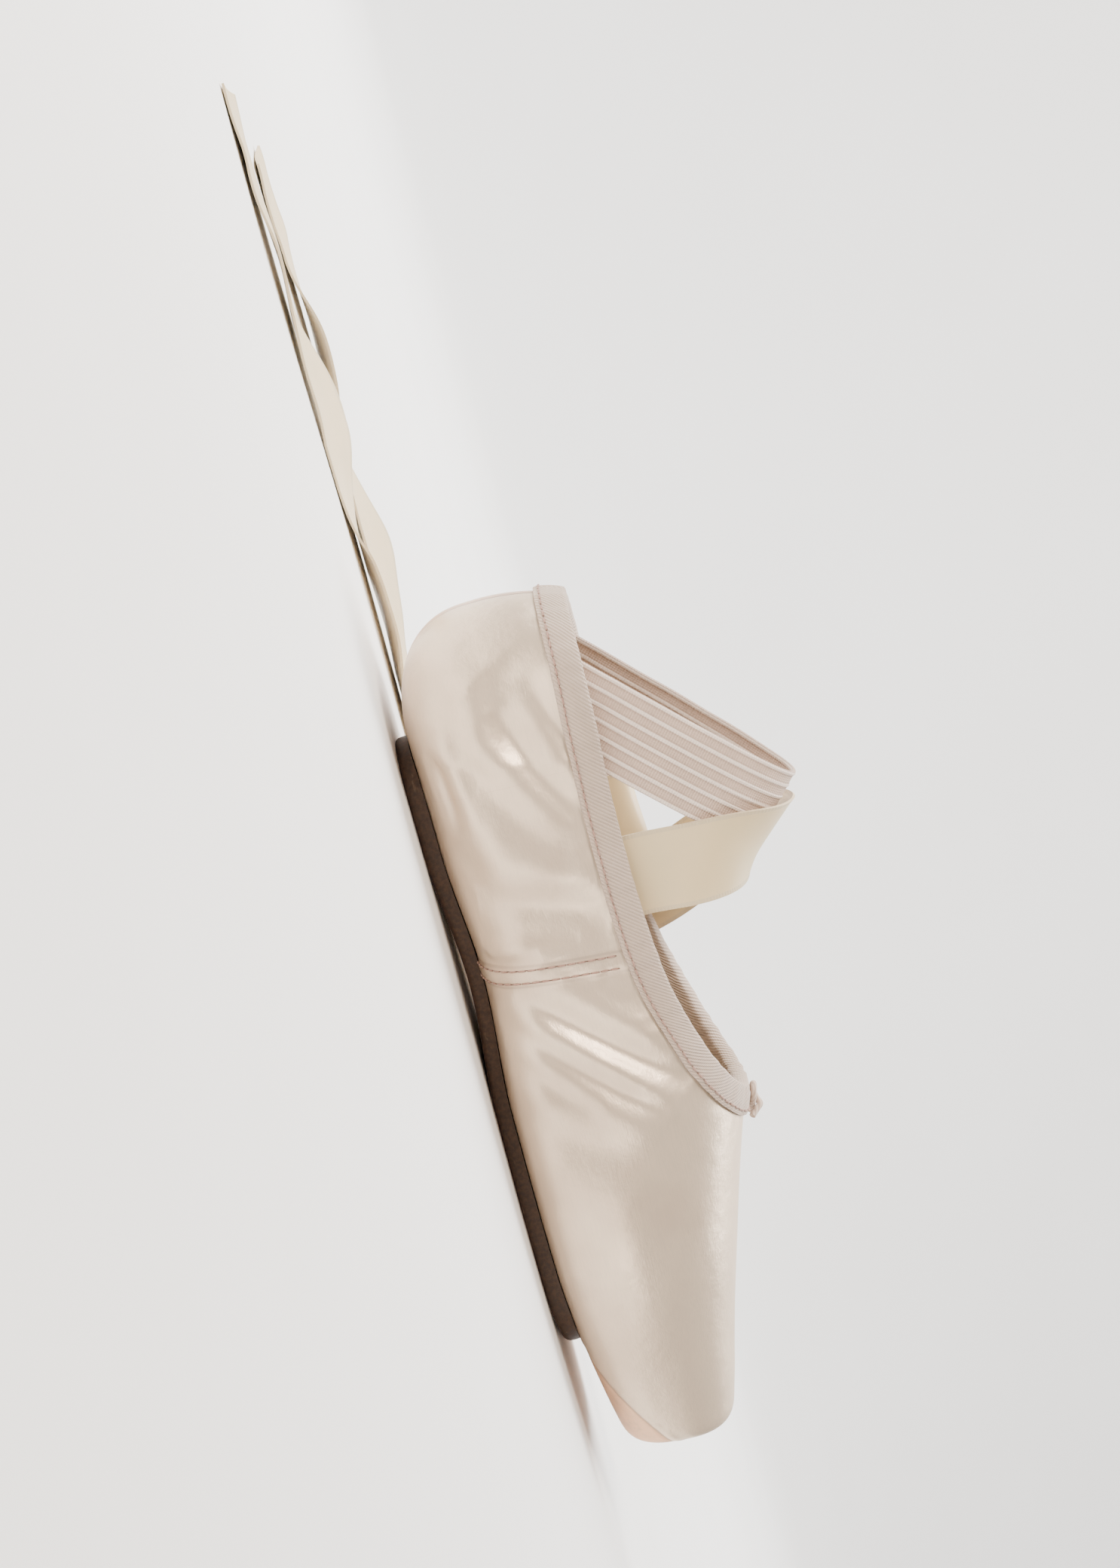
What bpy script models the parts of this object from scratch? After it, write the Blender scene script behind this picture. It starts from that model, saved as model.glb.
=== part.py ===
"""Satin pointe shoe, empty, standing flat on its outsole.

Metres, +Z up, toe towards +X. The shoe is straight lasted, so it is mirrored in the XZ plane.
The last is one function of position: sections across the shoe, with a rounded heel cap and a
flat toe platform. Every piece is read from it by ribs that run from the bottom opening,
round the outside, to the collar.
"""

import math

import bmesh
import bpy
import numpy as np

# Main sizes
LENGTH = 0.235
BALL_WIDTH = 0.074
INSTEP_HEIGHT = 0.066
HEEL_WIDTH = 0.057
VAMP_LENGTH = 0.090
PLATFORM_WIDTH = 0.045
PLATFORM_HEIGHT = 0.030
PLATFORM_TILT = math.radians(5.0)
PLATFORM_EDGE = 0.012
HEEL_ROUNDING = 0.030
CAP_POWER = 2.2

# Walls and clearances
QUARTER_WALL = 0.0017
BOX_WALL = 0.0030
CLEARANCE = 0.0003

# Outsole
OUTSOLE_LENGTH = 0.172
OUTSOLE_WIDTH = 0.051
OUTSOLE_THICKNESS = 0.0036
OUTSOLE_BEVEL = 0.0009
OUTSOLE_MARGIN = 0.0055
ARCH_RISE = 0.0022
TOE_SPRING = 0.0058

# Insole
INSOLE_THICKNESS = 0.0025

# Binding round the collar
BINDING_WIDTH = 0.0075
BINDING_INNER_WIDTH = 0.0055
BINDING_THICKNESS = 0.0009

# Elastic over the instep
ELASTIC_WIDTH = 0.022
ELASTIC_THICKNESS = 0.0012
ELASTIC_RISE = 0.056
ELASTIC_TUCK_LENGTH = 0.014
ELASTIC_FOOT_HEIGHT = 0.053
ELASTIC_LEAN = math.radians(45.0)
ELASTIC_PLACE = 0.034
STRAP_CLEARANCE = 0.0012

# Ties
RIBBON_WIDTH = 0.022
RIBBON_THICKNESS = 0.0010

# Drawstring
DRAWSTRING_DIAMETER = 0.0018

# Places along the shoe that the tables follow
OUTSOLE_START = HEEL_ROUNDING
OUTSOLE_END = OUTSOLE_START + OUTSOLE_LENGTH
THROAT = LENGTH - VAMP_LENGTH
HEEL_CENTRE = 0.19 * LENGTH
TOE_CENTRE = THROAT - 0.3 * VAMP_LENGTH
PLATFORM_BOTTOM = OUTSOLE_THICKNESS + CLEARANCE + TOE_SPRING

# Mesh densities
RIBS = 72
STEPS = 19
FINE_STEPS = 260

# Sections of the last. along is a share of LENGTH, half_width of BALL_WIDTH and the heights of
# INSTEP_HEIGHT; the powers shape each section above and below its widest height.
SECTIONS = (
    # along, half_width, widest, crown, power_above, power_below
    (0.00, 0.372, 0.42, 1.20, 2.2, 3.2),
    (0.13, 0.384, 0.40, 1.20, 2.2, 3.2),
    (0.30, 0.386, 0.39, 1.17, 2.2, 3.0),
    (0.45, 0.425, 0.36, 1.13, 2.2, 3.4),
    (0.60, 0.486, 0.32, 1.02, 2.2, 4.2),
    (0.71, 0.500, 0.30, 0.895, 2.25, 4.4),
    (0.82, 0.462, 0.30, 0.775, 2.35, 3.8),
    (0.92, 0.382, 0.33, 0.675, 2.45, 3.0),
    (1.00, 0.304, 0.375, 0.600, 2.6, 2.6),
)

# Collar line seen from the side. along is a share of THROAT, height of INSTEP_HEIGHT.
COLLAR = (
    # along, height
    (0.00, 0.805),
    (0.12, 0.798),
    (0.35, 0.778),
    (0.60, 0.775),
    (0.73, 0.800),
    (0.82, 0.845),
    (0.90, 0.897),
    (0.96, 0.950),
    (1.00, 0.992),
    (1.06, 1.060),
    (1.20, 1.240),
)

# Outline of the outsole. along is a share of OUTSOLE_LENGTH, half_width of OUTSOLE_WIDTH.
OUTSOLE_OUTLINE = (
    # along, half_width
    (0.00, 0.275),
    (0.10, 0.285),
    (0.22, 0.268),
    (0.37, 0.262),
    (0.50, 0.335),
    (0.64, 0.440),
    (0.80, 0.500),
    (0.92, 0.478),
    (1.00, 0.440),
)

# Routes of the two ties in metres: x from the heel, y, z, then the way that the tie's width points.
NEAR_RIBBON = (
    # x, y, z, side_x, side_y, side_z
    (0.0770, -0.0236, 0.0370, 1.0, 0.0, 0.0),
    (0.0771, -0.0230, 0.0450, 1.0, 0.0, 0.0),
    (0.0773, -0.0216, 0.0525, 1.0, 0.0, 0.0),
    (0.0777, -0.0216, 0.0605, 1.0, 0.0, -0.1),
    (0.0784, -0.0212, 0.0690, 1.0, 0.0, -0.3),
    (0.0790, -0.0188, 0.0770, 1.0, 0.0, -0.5),
    (0.0795, -0.0135, 0.0845, 1.0, 0.0, -0.8),
    (0.0797, -0.0070, 0.0890, 1.0, 0.0, -1.0),
    (0.0798, 0.0000, 0.0906, 1.0, 0.0, -1.0),
    (0.0801, 0.0075, 0.0888, 1.0, 0.0, -1.0),
    (0.0812, 0.0150, 0.0835, 1.0, 0.0, -0.8),
    (0.0845, 0.0215, 0.0755, 1.0, 0.0, -0.5),
    (0.0895, 0.0270, 0.0662, 1.0, 0.0, -0.3),
    (0.0940, 0.0315, 0.0572, 1.0, 0.0, -0.1),
    (0.0975, 0.0355, 0.0480, 1.0, 0.0, 0.0),
    (0.1000, 0.0390, 0.0380, 1.0, 0.0, 0.0),
    (0.1018, 0.0420, 0.0275, 1.0, 0.0, 0.0),
    (0.1030, 0.0460, 0.0170, 1.0, 0.0, -0.1),
    (0.1030, 0.0530, 0.0090, 1.0, 0.0, -0.2),
    (0.1025, 0.0645, 0.0070, 0.9, 0.1, -0.5),
    (0.0970, 0.0765, 0.0078, 0.8, 0.4, -0.7),
    (0.0870, 0.0860, 0.0084, 0.5, 0.6, -0.8),
    (0.0740, 0.0925, 0.0080, 0.2, 0.8, -0.7),
    (0.0590, 0.0952, 0.0058, 0.0, 1.0, -0.5),
    (0.0420, 0.0950, 0.0030, -0.1, 1.0, -0.2),
    (0.0240, 0.0925, 0.0018, -0.1, 1.0, 0.1),
    (0.0050, 0.0900, 0.0032, -0.1, 1.0, 0.2),
    (-0.0140, 0.0895, 0.0035, 0.0, 1.0, 0.2),
    (-0.0330, 0.0915, 0.0015, 0.1, 1.0, 0.0),
    (-0.0520, 0.0945, 0.0028, 0.1, 1.0, -0.2),
    (-0.0710, 0.0960, 0.0034, 0.0, 1.0, -0.2),
    (-0.0900, 0.0945, 0.0014, -0.1, 1.0, 0.0),
    (-0.1080, 0.0915, 0.0010, -0.2, 1.0, 0.0),
    (-0.1240, 0.0885, 0.0010, -0.2, 1.0, 0.0),
)
FAR_RIBBON = (
    # x, y, z, side_x, side_y, side_z
    (0.0700, 0.0233, 0.0370, 1.0, 0.0, 0.0),
    (0.0700, 0.0227, 0.0450, 1.0, 0.0, 0.0),
    (0.0698, 0.0211, 0.0520, 1.0, 0.0, 0.0),
    (0.0694, 0.0230, 0.0565, 1.0, 0.0, 0.0),
    (0.0688, 0.0288, 0.0572, 1.0, 0.1, 0.0),
    (0.0680, 0.0343, 0.0530, 0.9, 0.2, 0.1),
    (0.0670, 0.0385, 0.0450, 0.8, 0.5, 0.1),
    (0.0654, 0.0425, 0.0345, 0.6, 0.8, 0.1),
    (0.0625, 0.0462, 0.0230, 0.3, 1.0, 0.1),
    (0.0570, 0.0490, 0.0120, 0.1, 1.0, 0.0),
    (0.0460, 0.0510, 0.0048, 0.0, 1.0, -0.1),
    (0.0320, 0.0525, 0.0018, 0.0, 1.0, -0.1),
    (0.0150, 0.0545, 0.0030, 0.1, 1.0, -0.2),
    (-0.0030, 0.0560, 0.0030, 0.1, 1.0, -0.2),
    (-0.0220, 0.0560, 0.0015, 0.0, 1.0, 0.0),
    (-0.0410, 0.0535, 0.0030, -0.1, 1.0, 0.2),
    (-0.0600, 0.0500, 0.0034, -0.2, 1.0, 0.2),
    (-0.0780, 0.0470, 0.0016, -0.1, 1.0, 0.0),
    (-0.0960, 0.0455, 0.0026, 0.0, 1.0, -0.1),
    (-0.1140, 0.0460, 0.0014, 0.1, 1.0, 0.0),
    (-0.1300, 0.0480, 0.0010, 0.1, 1.0, 0.0),
    (-0.1440, 0.0505, 0.0010, 0.1, 1.0, 0.0),
)

# The drawstring's knot, in drawstring diameters from its seat on the binding: a loop whose ends cross
KNOT = (
    # ahead, side, rise
    (2.6, 1.5, 0.0),
    (1.6, 0.5, 0.0),
    (0.5, -0.75, 0.0),
    (-0.7, -1.4, 0.0),
    (-1.8, -0.7, 0.0),
    (-1.8, 0.7, 0.0),
    (-0.7, 1.4, 0.1),
    (0.5, 0.75, 0.7),
    (1.05, 0.0, 1.15),
    (1.7, -0.6, 0.7),
    (2.6, -1.5, 0.0),
)


def spline(table, column, places):
    """A natural cubic through one column of a table, read at places and straight past its ends."""
    knots = np.array([row[0] for row in table], dtype=float)
    values = np.array([row[column] for row in table], dtype=float)
    count = len(knots)
    gaps = np.diff(knots)
    system = np.eye(count)
    right = np.zeros(count)
    for i in range(1, count - 1):
        system[i, i - 1] = gaps[i - 1]
        system[i, i] = 2.0 * (gaps[i - 1] + gaps[i])
        system[i, i + 1] = gaps[i]
        right[i] = 6.0 * ((values[i + 1] - values[i]) / gaps[i] - (values[i] - values[i - 1]) / gaps[i - 1])
    bends = np.linalg.solve(system, right)
    places = np.asarray(places, dtype=float)
    inside = np.clip(places, knots[0], knots[-1])
    i = np.clip(np.searchsorted(knots, inside, side="right") - 1, 0, count - 2)
    left = (knots[i + 1] - inside) / gaps[i]
    ahead = 1.0 - left
    smooth = left * values[i] + ahead * values[i + 1]
    smooth = smooth + ((left**3 - left) * bends[i] + (ahead**3 - ahead) * bends[i + 1]) * gaps[i] ** 2 / 6.0
    first = (values[1] - values[0]) / gaps[0] - gaps[0] * bends[1] / 6.0
    last = (values[-1] - values[-2]) / gaps[-1] + gaps[-1] * bends[-2] / 6.0
    smooth = smooth + np.minimum(places - knots[0], 0.0) * first
    return smooth + np.maximum(places - knots[-1], 0.0) * last


def ease(values):
    """A smooth step from 0 to 1."""
    values = np.clip(values, 0.0, 1.0)
    return values * values * (3.0 - 2.0 * values)


def sole_rise(x):
    """Height of the outsole's underside: flat at heel and forefoot, arched between, sprung at the toe."""
    heel_flat_end = OUTSOLE_START + 0.17 * OUTSOLE_LENGTH
    ball_flat_start = OUTSOLE_START + 0.60 * OUTSOLE_LENGTH
    ball_flat_end = OUTSOLE_START + 0.86 * OUTSOLE_LENGTH
    along = np.clip((x - heel_flat_end) / (ball_flat_start - heel_flat_end), 0.0, 1.0)
    arch = ARCH_RISE * np.sin(math.pi * along) ** 2
    forward = np.clip((x - ball_flat_end) / (LENGTH - ball_flat_end), 0.0, 1.2)
    return arch + TOE_SPRING * forward**1.6


def section(x):
    """Half width, widest height, crown and bottom heights and the two powers of the section at x."""
    share = np.clip(np.asarray(x) / LENGTH, 0.0, 1.0)
    heel = 1.0 - ease((share - 0.20) / 0.35)
    toe = ease((share - 0.80) / 0.20)
    half = spline(SECTIONS, 1, share) * BALL_WIDTH
    half = half + heel * 0.5 * (HEEL_WIDTH - 2.0 * SECTIONS[1][1] * BALL_WIDTH)
    half = half + toe * 0.5 * (PLATFORM_WIDTH - 2.0 * SECTIONS[-1][1] * BALL_WIDTH)
    bottom = sole_rise(x) + OUTSOLE_THICKNESS + CLEARANCE
    crown = spline(SECTIONS, 3, share) * INSTEP_HEIGHT
    crown = crown + toe * (PLATFORM_BOTTOM + PLATFORM_HEIGHT - SECTIONS[-1][3] * INSTEP_HEIGHT)
    widest = spline(SECTIONS, 2, share) * INSTEP_HEIGHT
    return half, widest, crown, bottom, spline(SECTIONS, 4, share), spline(SECTIONS, 5, share)


def end_terms(x, z, widest):
    """What the heel cap and the tilted toe platform add to the last's function."""
    heel = np.maximum(0.0, (HEEL_ROUNDING - x) / HEEL_ROUNDING)
    ahead = x - math.tan(PLATFORM_TILT) * (z - widest)
    toe = np.maximum(0.0, (ahead - (LENGTH - PLATFORM_EDGE)) / PLATFORM_EDGE)
    return heel**CAP_POWER + toe**7.0


def last(x, y, z):
    """Below 1 inside the last, 1 on its surface, above 1 outside."""
    half, widest, crown, bottom, above, below = section(x)
    up = np.abs(z - widest) / np.where(z > widest, crown - widest, widest - bottom)
    power = np.where(z > widest, above, below)
    gauge = ((np.abs(y) / half) ** power + up**power) ** (1.0 / power)
    return gauge**CAP_POWER + end_terms(x, z, widest)


def outward(points):
    """Unit normals of the last at points."""
    step = 0.00005
    x, y, z = points[..., 0], points[..., 1], points[..., 2]
    slope = np.stack(
        (
            last(x + step, y, z) - last(x - step, y, z),
            last(x, y + step, z) - last(x, y - step, z),
            last(x, y, z + step) - last(x, y, z - step),
        ),
        axis=-1,
    )
    return slope / np.linalg.norm(slope, axis=-1, keepdims=True)


def wall(x):
    """Thickness of the shell: thin in the quarters, stiff and thick in the box."""
    return QUARTER_WALL + (BOX_WALL - QUARTER_WALL) * ease((x / LENGTH - 0.50) / 0.22)


def farthest(inside, low, high):
    """The largest value between low and high for which inside(value) still holds."""
    for _ in range(44):
        middle = 0.5 * (low + high)
        kept = inside(middle)
        low = np.where(kept, middle, low)
        high = np.where(kept, high, middle)
    return 0.5 * (low + high)


def outsole_half_width(x):
    """Half width of the outsole at x, with its two rounded ends."""
    share = (x - OUTSOLE_START) / OUTSOLE_LENGTH
    half = spline(OUTSOLE_OUTLINE, 1, share) * OUTSOLE_WIDTH
    heel = np.clip((x - OUTSOLE_START) / (0.26 * OUTSOLE_WIDTH), 0.0, 1.0)
    toe = np.clip((OUTSOLE_END - x) / (0.30 * OUTSOLE_WIDTH), 0.0, 1.0)
    round_heel = np.sqrt(np.maximum(0.0, 1.0 - (1.0 - heel) ** 2.2))
    round_toe = np.maximum(0.0, 1.0 - (1.0 - toe) ** 2.3) ** (1.0 / 2.3)
    return half * round_heel * round_toe


def ribs(count):
    """Foot and direction, in plan, of each rib round the shoe, first rib at the heel."""
    turn = np.linspace(0.0, math.pi, 4001)
    x = 0.5 * LENGTH * (1.0 - np.cos(turn))
    widest = section(x)[1]
    half = farthest(lambda y: last(x, y, widest) < 1.0, np.zeros_like(x), np.full_like(x, BALL_WIDTH))
    start = farthest(lambda v: last(v, 0.0 * v, section(v)[1]) < 1.0, np.array([0.5 * LENGTH]), np.array([-0.01]))
    end = farthest(lambda v: last(v, 0.0 * v, section(v)[1]) < 1.0, np.array([0.5 * LENGTH]), np.array([LENGTH + 0.01]))
    keep = (x > start[0]) & (x < end[0]) & (half > 0.0005)
    path = np.column_stack((x[keep], half[keep]))
    path = np.vstack(((start[0], 0.0), path, (end[0], 0.0)))
    steps = np.diff(path, axis=0)
    lengths = np.hypot(steps[:, 0], steps[:, 1])
    corner = 1.0 + 1.1 * np.exp(-(((path[1:, 0] - LENGTH) / (0.08 * LENGTH)) ** 2))
    travelled = np.concatenate(((0.0,), np.cumsum(lengths * corner)))
    wanted = np.linspace(0.0, travelled[-1], count // 2 + 1)
    outline = np.column_stack((np.interp(wanted, travelled, path[:, 0]), np.interp(wanted, travelled, path[:, 1])))
    outline = np.vstack((outline, outline[-2:0:-1] * (1.0, -1.0)))
    feet = np.clip(outline[:, 0], HEEL_CENTRE, TOE_CENTRE)
    away = outline - np.column_stack((feet, np.zeros(len(feet))))
    reach = np.hypot(away[:, 0], away[:, 1])
    return feet, away / reach[:, None], reach


class Shell:
    """The last's surface as ribs: each runs under the shoe, round its side and up to the collar."""

    def __init__(self, count):
        self.feet, self.ways, self.reach = ribs(count)
        self.count = count
        turn = np.radians(np.linspace(-172.0, 172.0, FINE_STEPS))[None, :]
        centre_out = (0.45 * self.reach)[:, None]
        centre_x = self.feet + self.ways[:, 0] * centre_out[:, 0]
        centre_up = section(centre_x)[1][:, None]

        def place(far):
            out = centre_out + far * np.cos(turn)
            up = centre_up + far * np.sin(turn)
            return self.at(out, up)

        def inside(far):
            points = place(far)
            return last(points[..., 0], points[..., 1], points[..., 2]) < 1.0

        shape = (count, FINE_STEPS)
        far = farthest(inside, np.zeros(shape), np.full(shape, LENGTH))
        self.fine = place(far)
        steps = np.linalg.norm(np.diff(self.fine, axis=1), axis=2)
        self.along = np.concatenate((np.zeros((count, 1)), np.cumsum(steps, axis=1)), axis=1)
        self.opening = self.outsole_reach() - OUTSOLE_MARGIN
        self.lower = self.first_place(self.distance_out(self.fine) - self.opening[:, None])
        self.upper = self.first_place(self.above_collar(self.fine))

    def at(self, out, up):
        """Points at a distance out along each rib and a height up."""
        x = self.feet[:, None] + self.ways[:, :1] * out
        y = self.ways[:, 1:] * out
        return np.stack((x, y, up + 0.0 * x), axis=-1)

    def distance_out(self, points):
        """Distance of points from their rib's foot, in plan."""
        x = points[..., 0] - self.feet[:, None]
        return x * self.ways[:, :1] + points[..., 1] * self.ways[:, 1:]

    def above_collar(self, points):
        """Height above the collar line, below zero on the kept part of the last."""
        line = spline(COLLAR, 1, points[..., 0] / THROAT) * INSTEP_HEIGHT
        over = points[..., 2] - line
        lower = np.arange(points.shape[1])[None, :] < FINE_STEPS // 3
        return np.where(lower, -1.0, over)

    def outsole_reach(self):
        """Distance from each rib's foot to the outsole's outline."""

        def inside(far):
            x = self.feet + self.ways[:, 0] * far
            y = np.abs(self.ways[:, 1] * far)
            return y < outsole_half_width(x)

        return farthest(inside, np.zeros(self.count), np.full(self.count, LENGTH))

    def first_place(self, values):
        """Length along each rib where values first turn from below zero to above."""
        over = values > 0.0
        first = np.argmax(over[:, 1:] & ~over[:, :-1], axis=1)
        rows = np.arange(self.count)
        low, high = values[rows, first], values[rows, first + 1]
        share = -low / (high - low)
        return self.along[rows, first] * (1.0 - share) + self.along[rows, first + 1] * share

    def read(self, lengths):
        """Points on the last at lengths along each rib, one row of lengths for each rib."""
        points = np.empty(lengths.shape + (3,))
        for rib in range(self.count):
            for axis in range(3):
                points[rib, :, axis] = np.interp(lengths[rib], self.along[rib], self.fine[rib, :, axis])
        return points

    def even(self, start, end, steps):
        """Lengths from start to end along each rib, closer where the surface turns."""
        mesh = np.empty((self.count, steps))
        normals = outward(self.fine)
        turns = np.arccos(np.clip((normals[:, 1:] * normals[:, :-1]).sum(axis=2), -1.0, 1.0))
        for rib in range(self.count):
            middle = 0.5 * (self.along[rib, 1:] + self.along[rib, :-1])
            inside = (middle > start[rib]) & (middle < end[rib])
            lengths = np.diff(self.along[rib])
            total_length = lengths[inside].sum()
            total_turn = turns[rib][inside].sum()
            weight = lengths / total_length + 0.9 * turns[rib] / total_turn
            travelled = np.concatenate(((0.0,), np.cumsum(weight)))
            first = np.interp(start[rib], self.along[rib], travelled)
            final = np.interp(end[rib], self.along[rib], travelled)
            mesh[rib] = np.interp(np.linspace(first, final, steps), travelled, self.along[rib])
        return mesh


def inset(points, depth):
    """Points moved into the last by depth."""
    return points - outward(points) * np.asarray(depth)[..., None]


def under_surface(x, y):
    """Points on the last's underside above plan places."""
    half, widest, _, bottom, _, below = section(x)
    gauge = np.maximum(1.0 - end_terms(x, bottom, widest), 0.0) ** (1.0 / CAP_POWER)
    left = gauge**below - np.abs(y / half) ** below
    up = widest - (widest - bottom) * np.maximum(left, 0.0) ** (1.0 / below)
    return np.stack((x, y, up), axis=-1)


def grid_faces(rows, columns, closed_rows, first=0):
    """Quads of a grid of points, row by row."""
    faces = []
    for i in range(rows if closed_rows else rows - 1):
        for j in range(columns - 1):
            a = first + i * columns + j
            b = first + ((i + 1) % rows) * columns + j
            faces.append((a, b, b + 1, a + 1))
    return faces


def colour(code):
    """Linear colour from a hex code."""
    values = [int(code[i : i + 2], 16) / 255.0 for i in (1, 3, 5)]
    return tuple(v / 12.92 if v <= 0.04045 else ((v + 0.055) / 1.055) ** 2.4 for v in values) + (1.0,)


def material(name, code, roughness):
    """One plain material."""
    made = bpy.data.materials.new(name)
    made.use_nodes = True
    shader = made.node_tree.nodes["Principled BSDF"]
    shader.inputs["Base Color"].default_value = colour(code)
    shader.inputs["Roughness"].default_value = roughness
    shader.inputs["Metallic"].default_value = 0.0
    return made


def solid(name, points, faces, made_of, merge=0.0):
    """A named object from points and faces, with outward faces and smooth shading."""
    moved = np.asarray(points, dtype=float).reshape(-1, 3) - (0.5 * LENGTH, 0.0, 0.0)
    mesh = bpy.data.meshes.new(name)
    mesh.from_pydata([tuple(p) for p in moved], [], faces)
    work = bmesh.new()
    work.from_mesh(mesh)
    if merge > 0.0:
        bmesh.ops.remove_doubles(work, verts=work.verts, dist=merge)
        bmesh.ops.dissolve_degenerate(work, edges=work.edges, dist=merge)
    bmesh.ops.recalc_face_normals(work, faces=work.faces)
    bmesh.ops.triangulate(work, faces=[f for f in work.faces if len(f.verts) > 4])
    work.to_mesh(mesh)
    work.free()
    mesh.shade_smooth()
    mesh.set_sharp_from_angle(angle=math.radians(35.0))
    mesh.materials.append(made_of)
    made = bpy.data.objects.new(name, mesh)
    bpy.context.scene.collection.objects.link(made)
    return made


def ring_solid(name, loops, made_of):
    """A closed ring from a closed section carried round the ribs: loops is ribs by section points."""
    rows, columns = loops.shape[:2]
    faces = []
    for i in range(rows):
        for j in range(columns):
            after = (i + 1) % rows
            side = (j + 1) % columns
            faces.append((i * columns + j, after * columns + j, after * columns + side, i * columns + side))
    return solid(name, loops, faces, made_of)


def band_solid(name, loops, made_of):
    """A strip from a closed section carried along it, with its two ends filled."""
    rows, columns = loops.shape[:2]
    faces = []
    for i in range(rows - 1):
        for j in range(columns):
            side = (j + 1) % columns
            faces.append((i * columns + j, (i + 1) * columns + j, (i + 1) * columns + side, i * columns + side))
    half = columns // 2
    for first in (0, (rows - 1) * columns):
        for j in range(half - 1):
            faces.append((first + j, first + j + 1, first + columns - 2 - j, first + columns - 1 - j))
    return solid(name, loops, faces, made_of)


def plate_solid(name, top, under, made_of):
    """A plate from two fans of points, ribs by rings, joined round their edge."""
    rows, columns = top.shape[:2]
    faces = grid_faces(rows, columns, True)
    faces += grid_faces(rows, columns, True, rows * columns)
    for i in range(rows):
        a = i * columns + columns - 1
        b = ((i + 1) % rows) * columns + columns - 1
        faces.append((a, b, b + rows * columns, a + rows * columns))
    return solid(name, np.concatenate((top, under)), faces, made_of, merge=0.00002)


def build_upper(shell, made_of):
    """The hollow shell: outer face, inner face and the rims at the collar and the bottom opening."""
    lengths = shell.even(shell.lower, shell.upper, STEPS)
    outer = shell.read(lengths)
    inner = inset(outer, wall(outer[..., 0]))
    loops = np.concatenate((outer, inner[:, ::-1]), axis=1)
    return ring_solid("upper", loops, made_of)


def build_outsole(shell, made_of):
    """The outsole: its top follows the shell's underside, its edge is bevelled, its bottom is flat."""
    reach = shell.outsole_reach()
    shares = np.array((0.0, 0.35, 0.7, 0.9, 1.0))
    out = reach[:, None] * shares
    plan = shell.at(out, 0.0 * out)
    top = under_surface(plan[..., 0], plan[..., 1])
    top[..., 2] -= CLEARANCE
    edge = top[:, -1:].copy()
    edge[..., 2] = sole_rise(edge[..., 0]) + OUTSOLE_BEVEL
    top = np.concatenate((top, edge), axis=1)
    out = (reach - OUTSOLE_BEVEL)[:, None] * shares
    plan = shell.at(out, 0.0 * out)
    under = plan.copy()
    under[..., 2] = sole_rise(plan[..., 0])
    under = np.concatenate((under, under[:, -1:]), axis=1)
    return plate_solid("outsole", top, under, made_of)


def build_insole(shell, made_of):
    """The insole, on the inner face of the shell's bottom and over the opening there."""
    far_x = shell.feet + shell.ways[:, 0] * shell.reach
    share = 0.62 + 0.18 * ease((far_x / LENGTH - 0.40) / 0.25)
    shares = np.array((0.0, 0.4, 0.7, 0.9, 1.0))
    out = (shell.reach * share)[:, None] * shares
    plan = shell.at(out, 0.0 * out)
    face = under_surface(plan[..., 0], plan[..., 1])
    depth = wall(face[..., 0]) + CLEARANCE
    under = inset(face, depth)
    top = inset(face, depth + INSOLE_THICKNESS)
    return plate_solid("insole", top, under, made_of)


def build_binding(shell, made_of):
    """The tape folded over the collar edge, a channel carried round the collar."""
    def point(down, offset):
        lengths = shell.upper[:, None] - down
        face = shell.read(lengths)
        return face + outward(face) * offset

    near = CLEARANCE
    far = CLEARANCE + BINDING_THICKNESS
    thick = wall(shell.read(shell.upper[:, None])[..., 0])
    columns = []
    for share in (1.0, 0.5, 0.0):
        columns.append(point(share * BINDING_WIDTH, far))
    columns.append(point(-far, -thick[..., None] * 0.15))
    columns.append(point(-far, -thick[..., None] * 0.85))
    for share in (0.0, 1.0):
        columns.append(point(share * BINDING_INNER_WIDTH, -thick[..., None] - far))
    for share in (1.0, 0.0):
        columns.append(point(share * BINDING_INNER_WIDTH, -thick[..., None] - near))
    columns.append(point(-near, -thick[..., None] * 0.9))
    columns.append(point(-near, -thick[..., None] * 0.1))
    for share in (0.0, 0.5, 1.0):
        columns.append(point(share * BINDING_WIDTH, near))
    return ring_solid("collar_binding", np.concatenate(columns, axis=1), made_of)


def inner_side(x, z, depth):
    """Half width of the hollow at x and height z, depth inside the last's surface."""
    half, widest, crown, bottom, above, below = section(x)
    up = np.abs(z - widest) / np.where(z > widest, crown - widest, widest - bottom)
    power = np.where(z > widest, above, below)
    gauge = np.maximum(1.0 - end_terms(x, z, widest), 0.0) ** (1.0 / CAP_POWER)
    left = gauge**power - up**power
    y = half * np.maximum(left, 0.0001) ** (1.0 / power)
    normal = outward(np.stack((x, y, z), axis=-1))
    return y - depth / np.maximum(np.abs(normal[..., 1]), 0.4)


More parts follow.
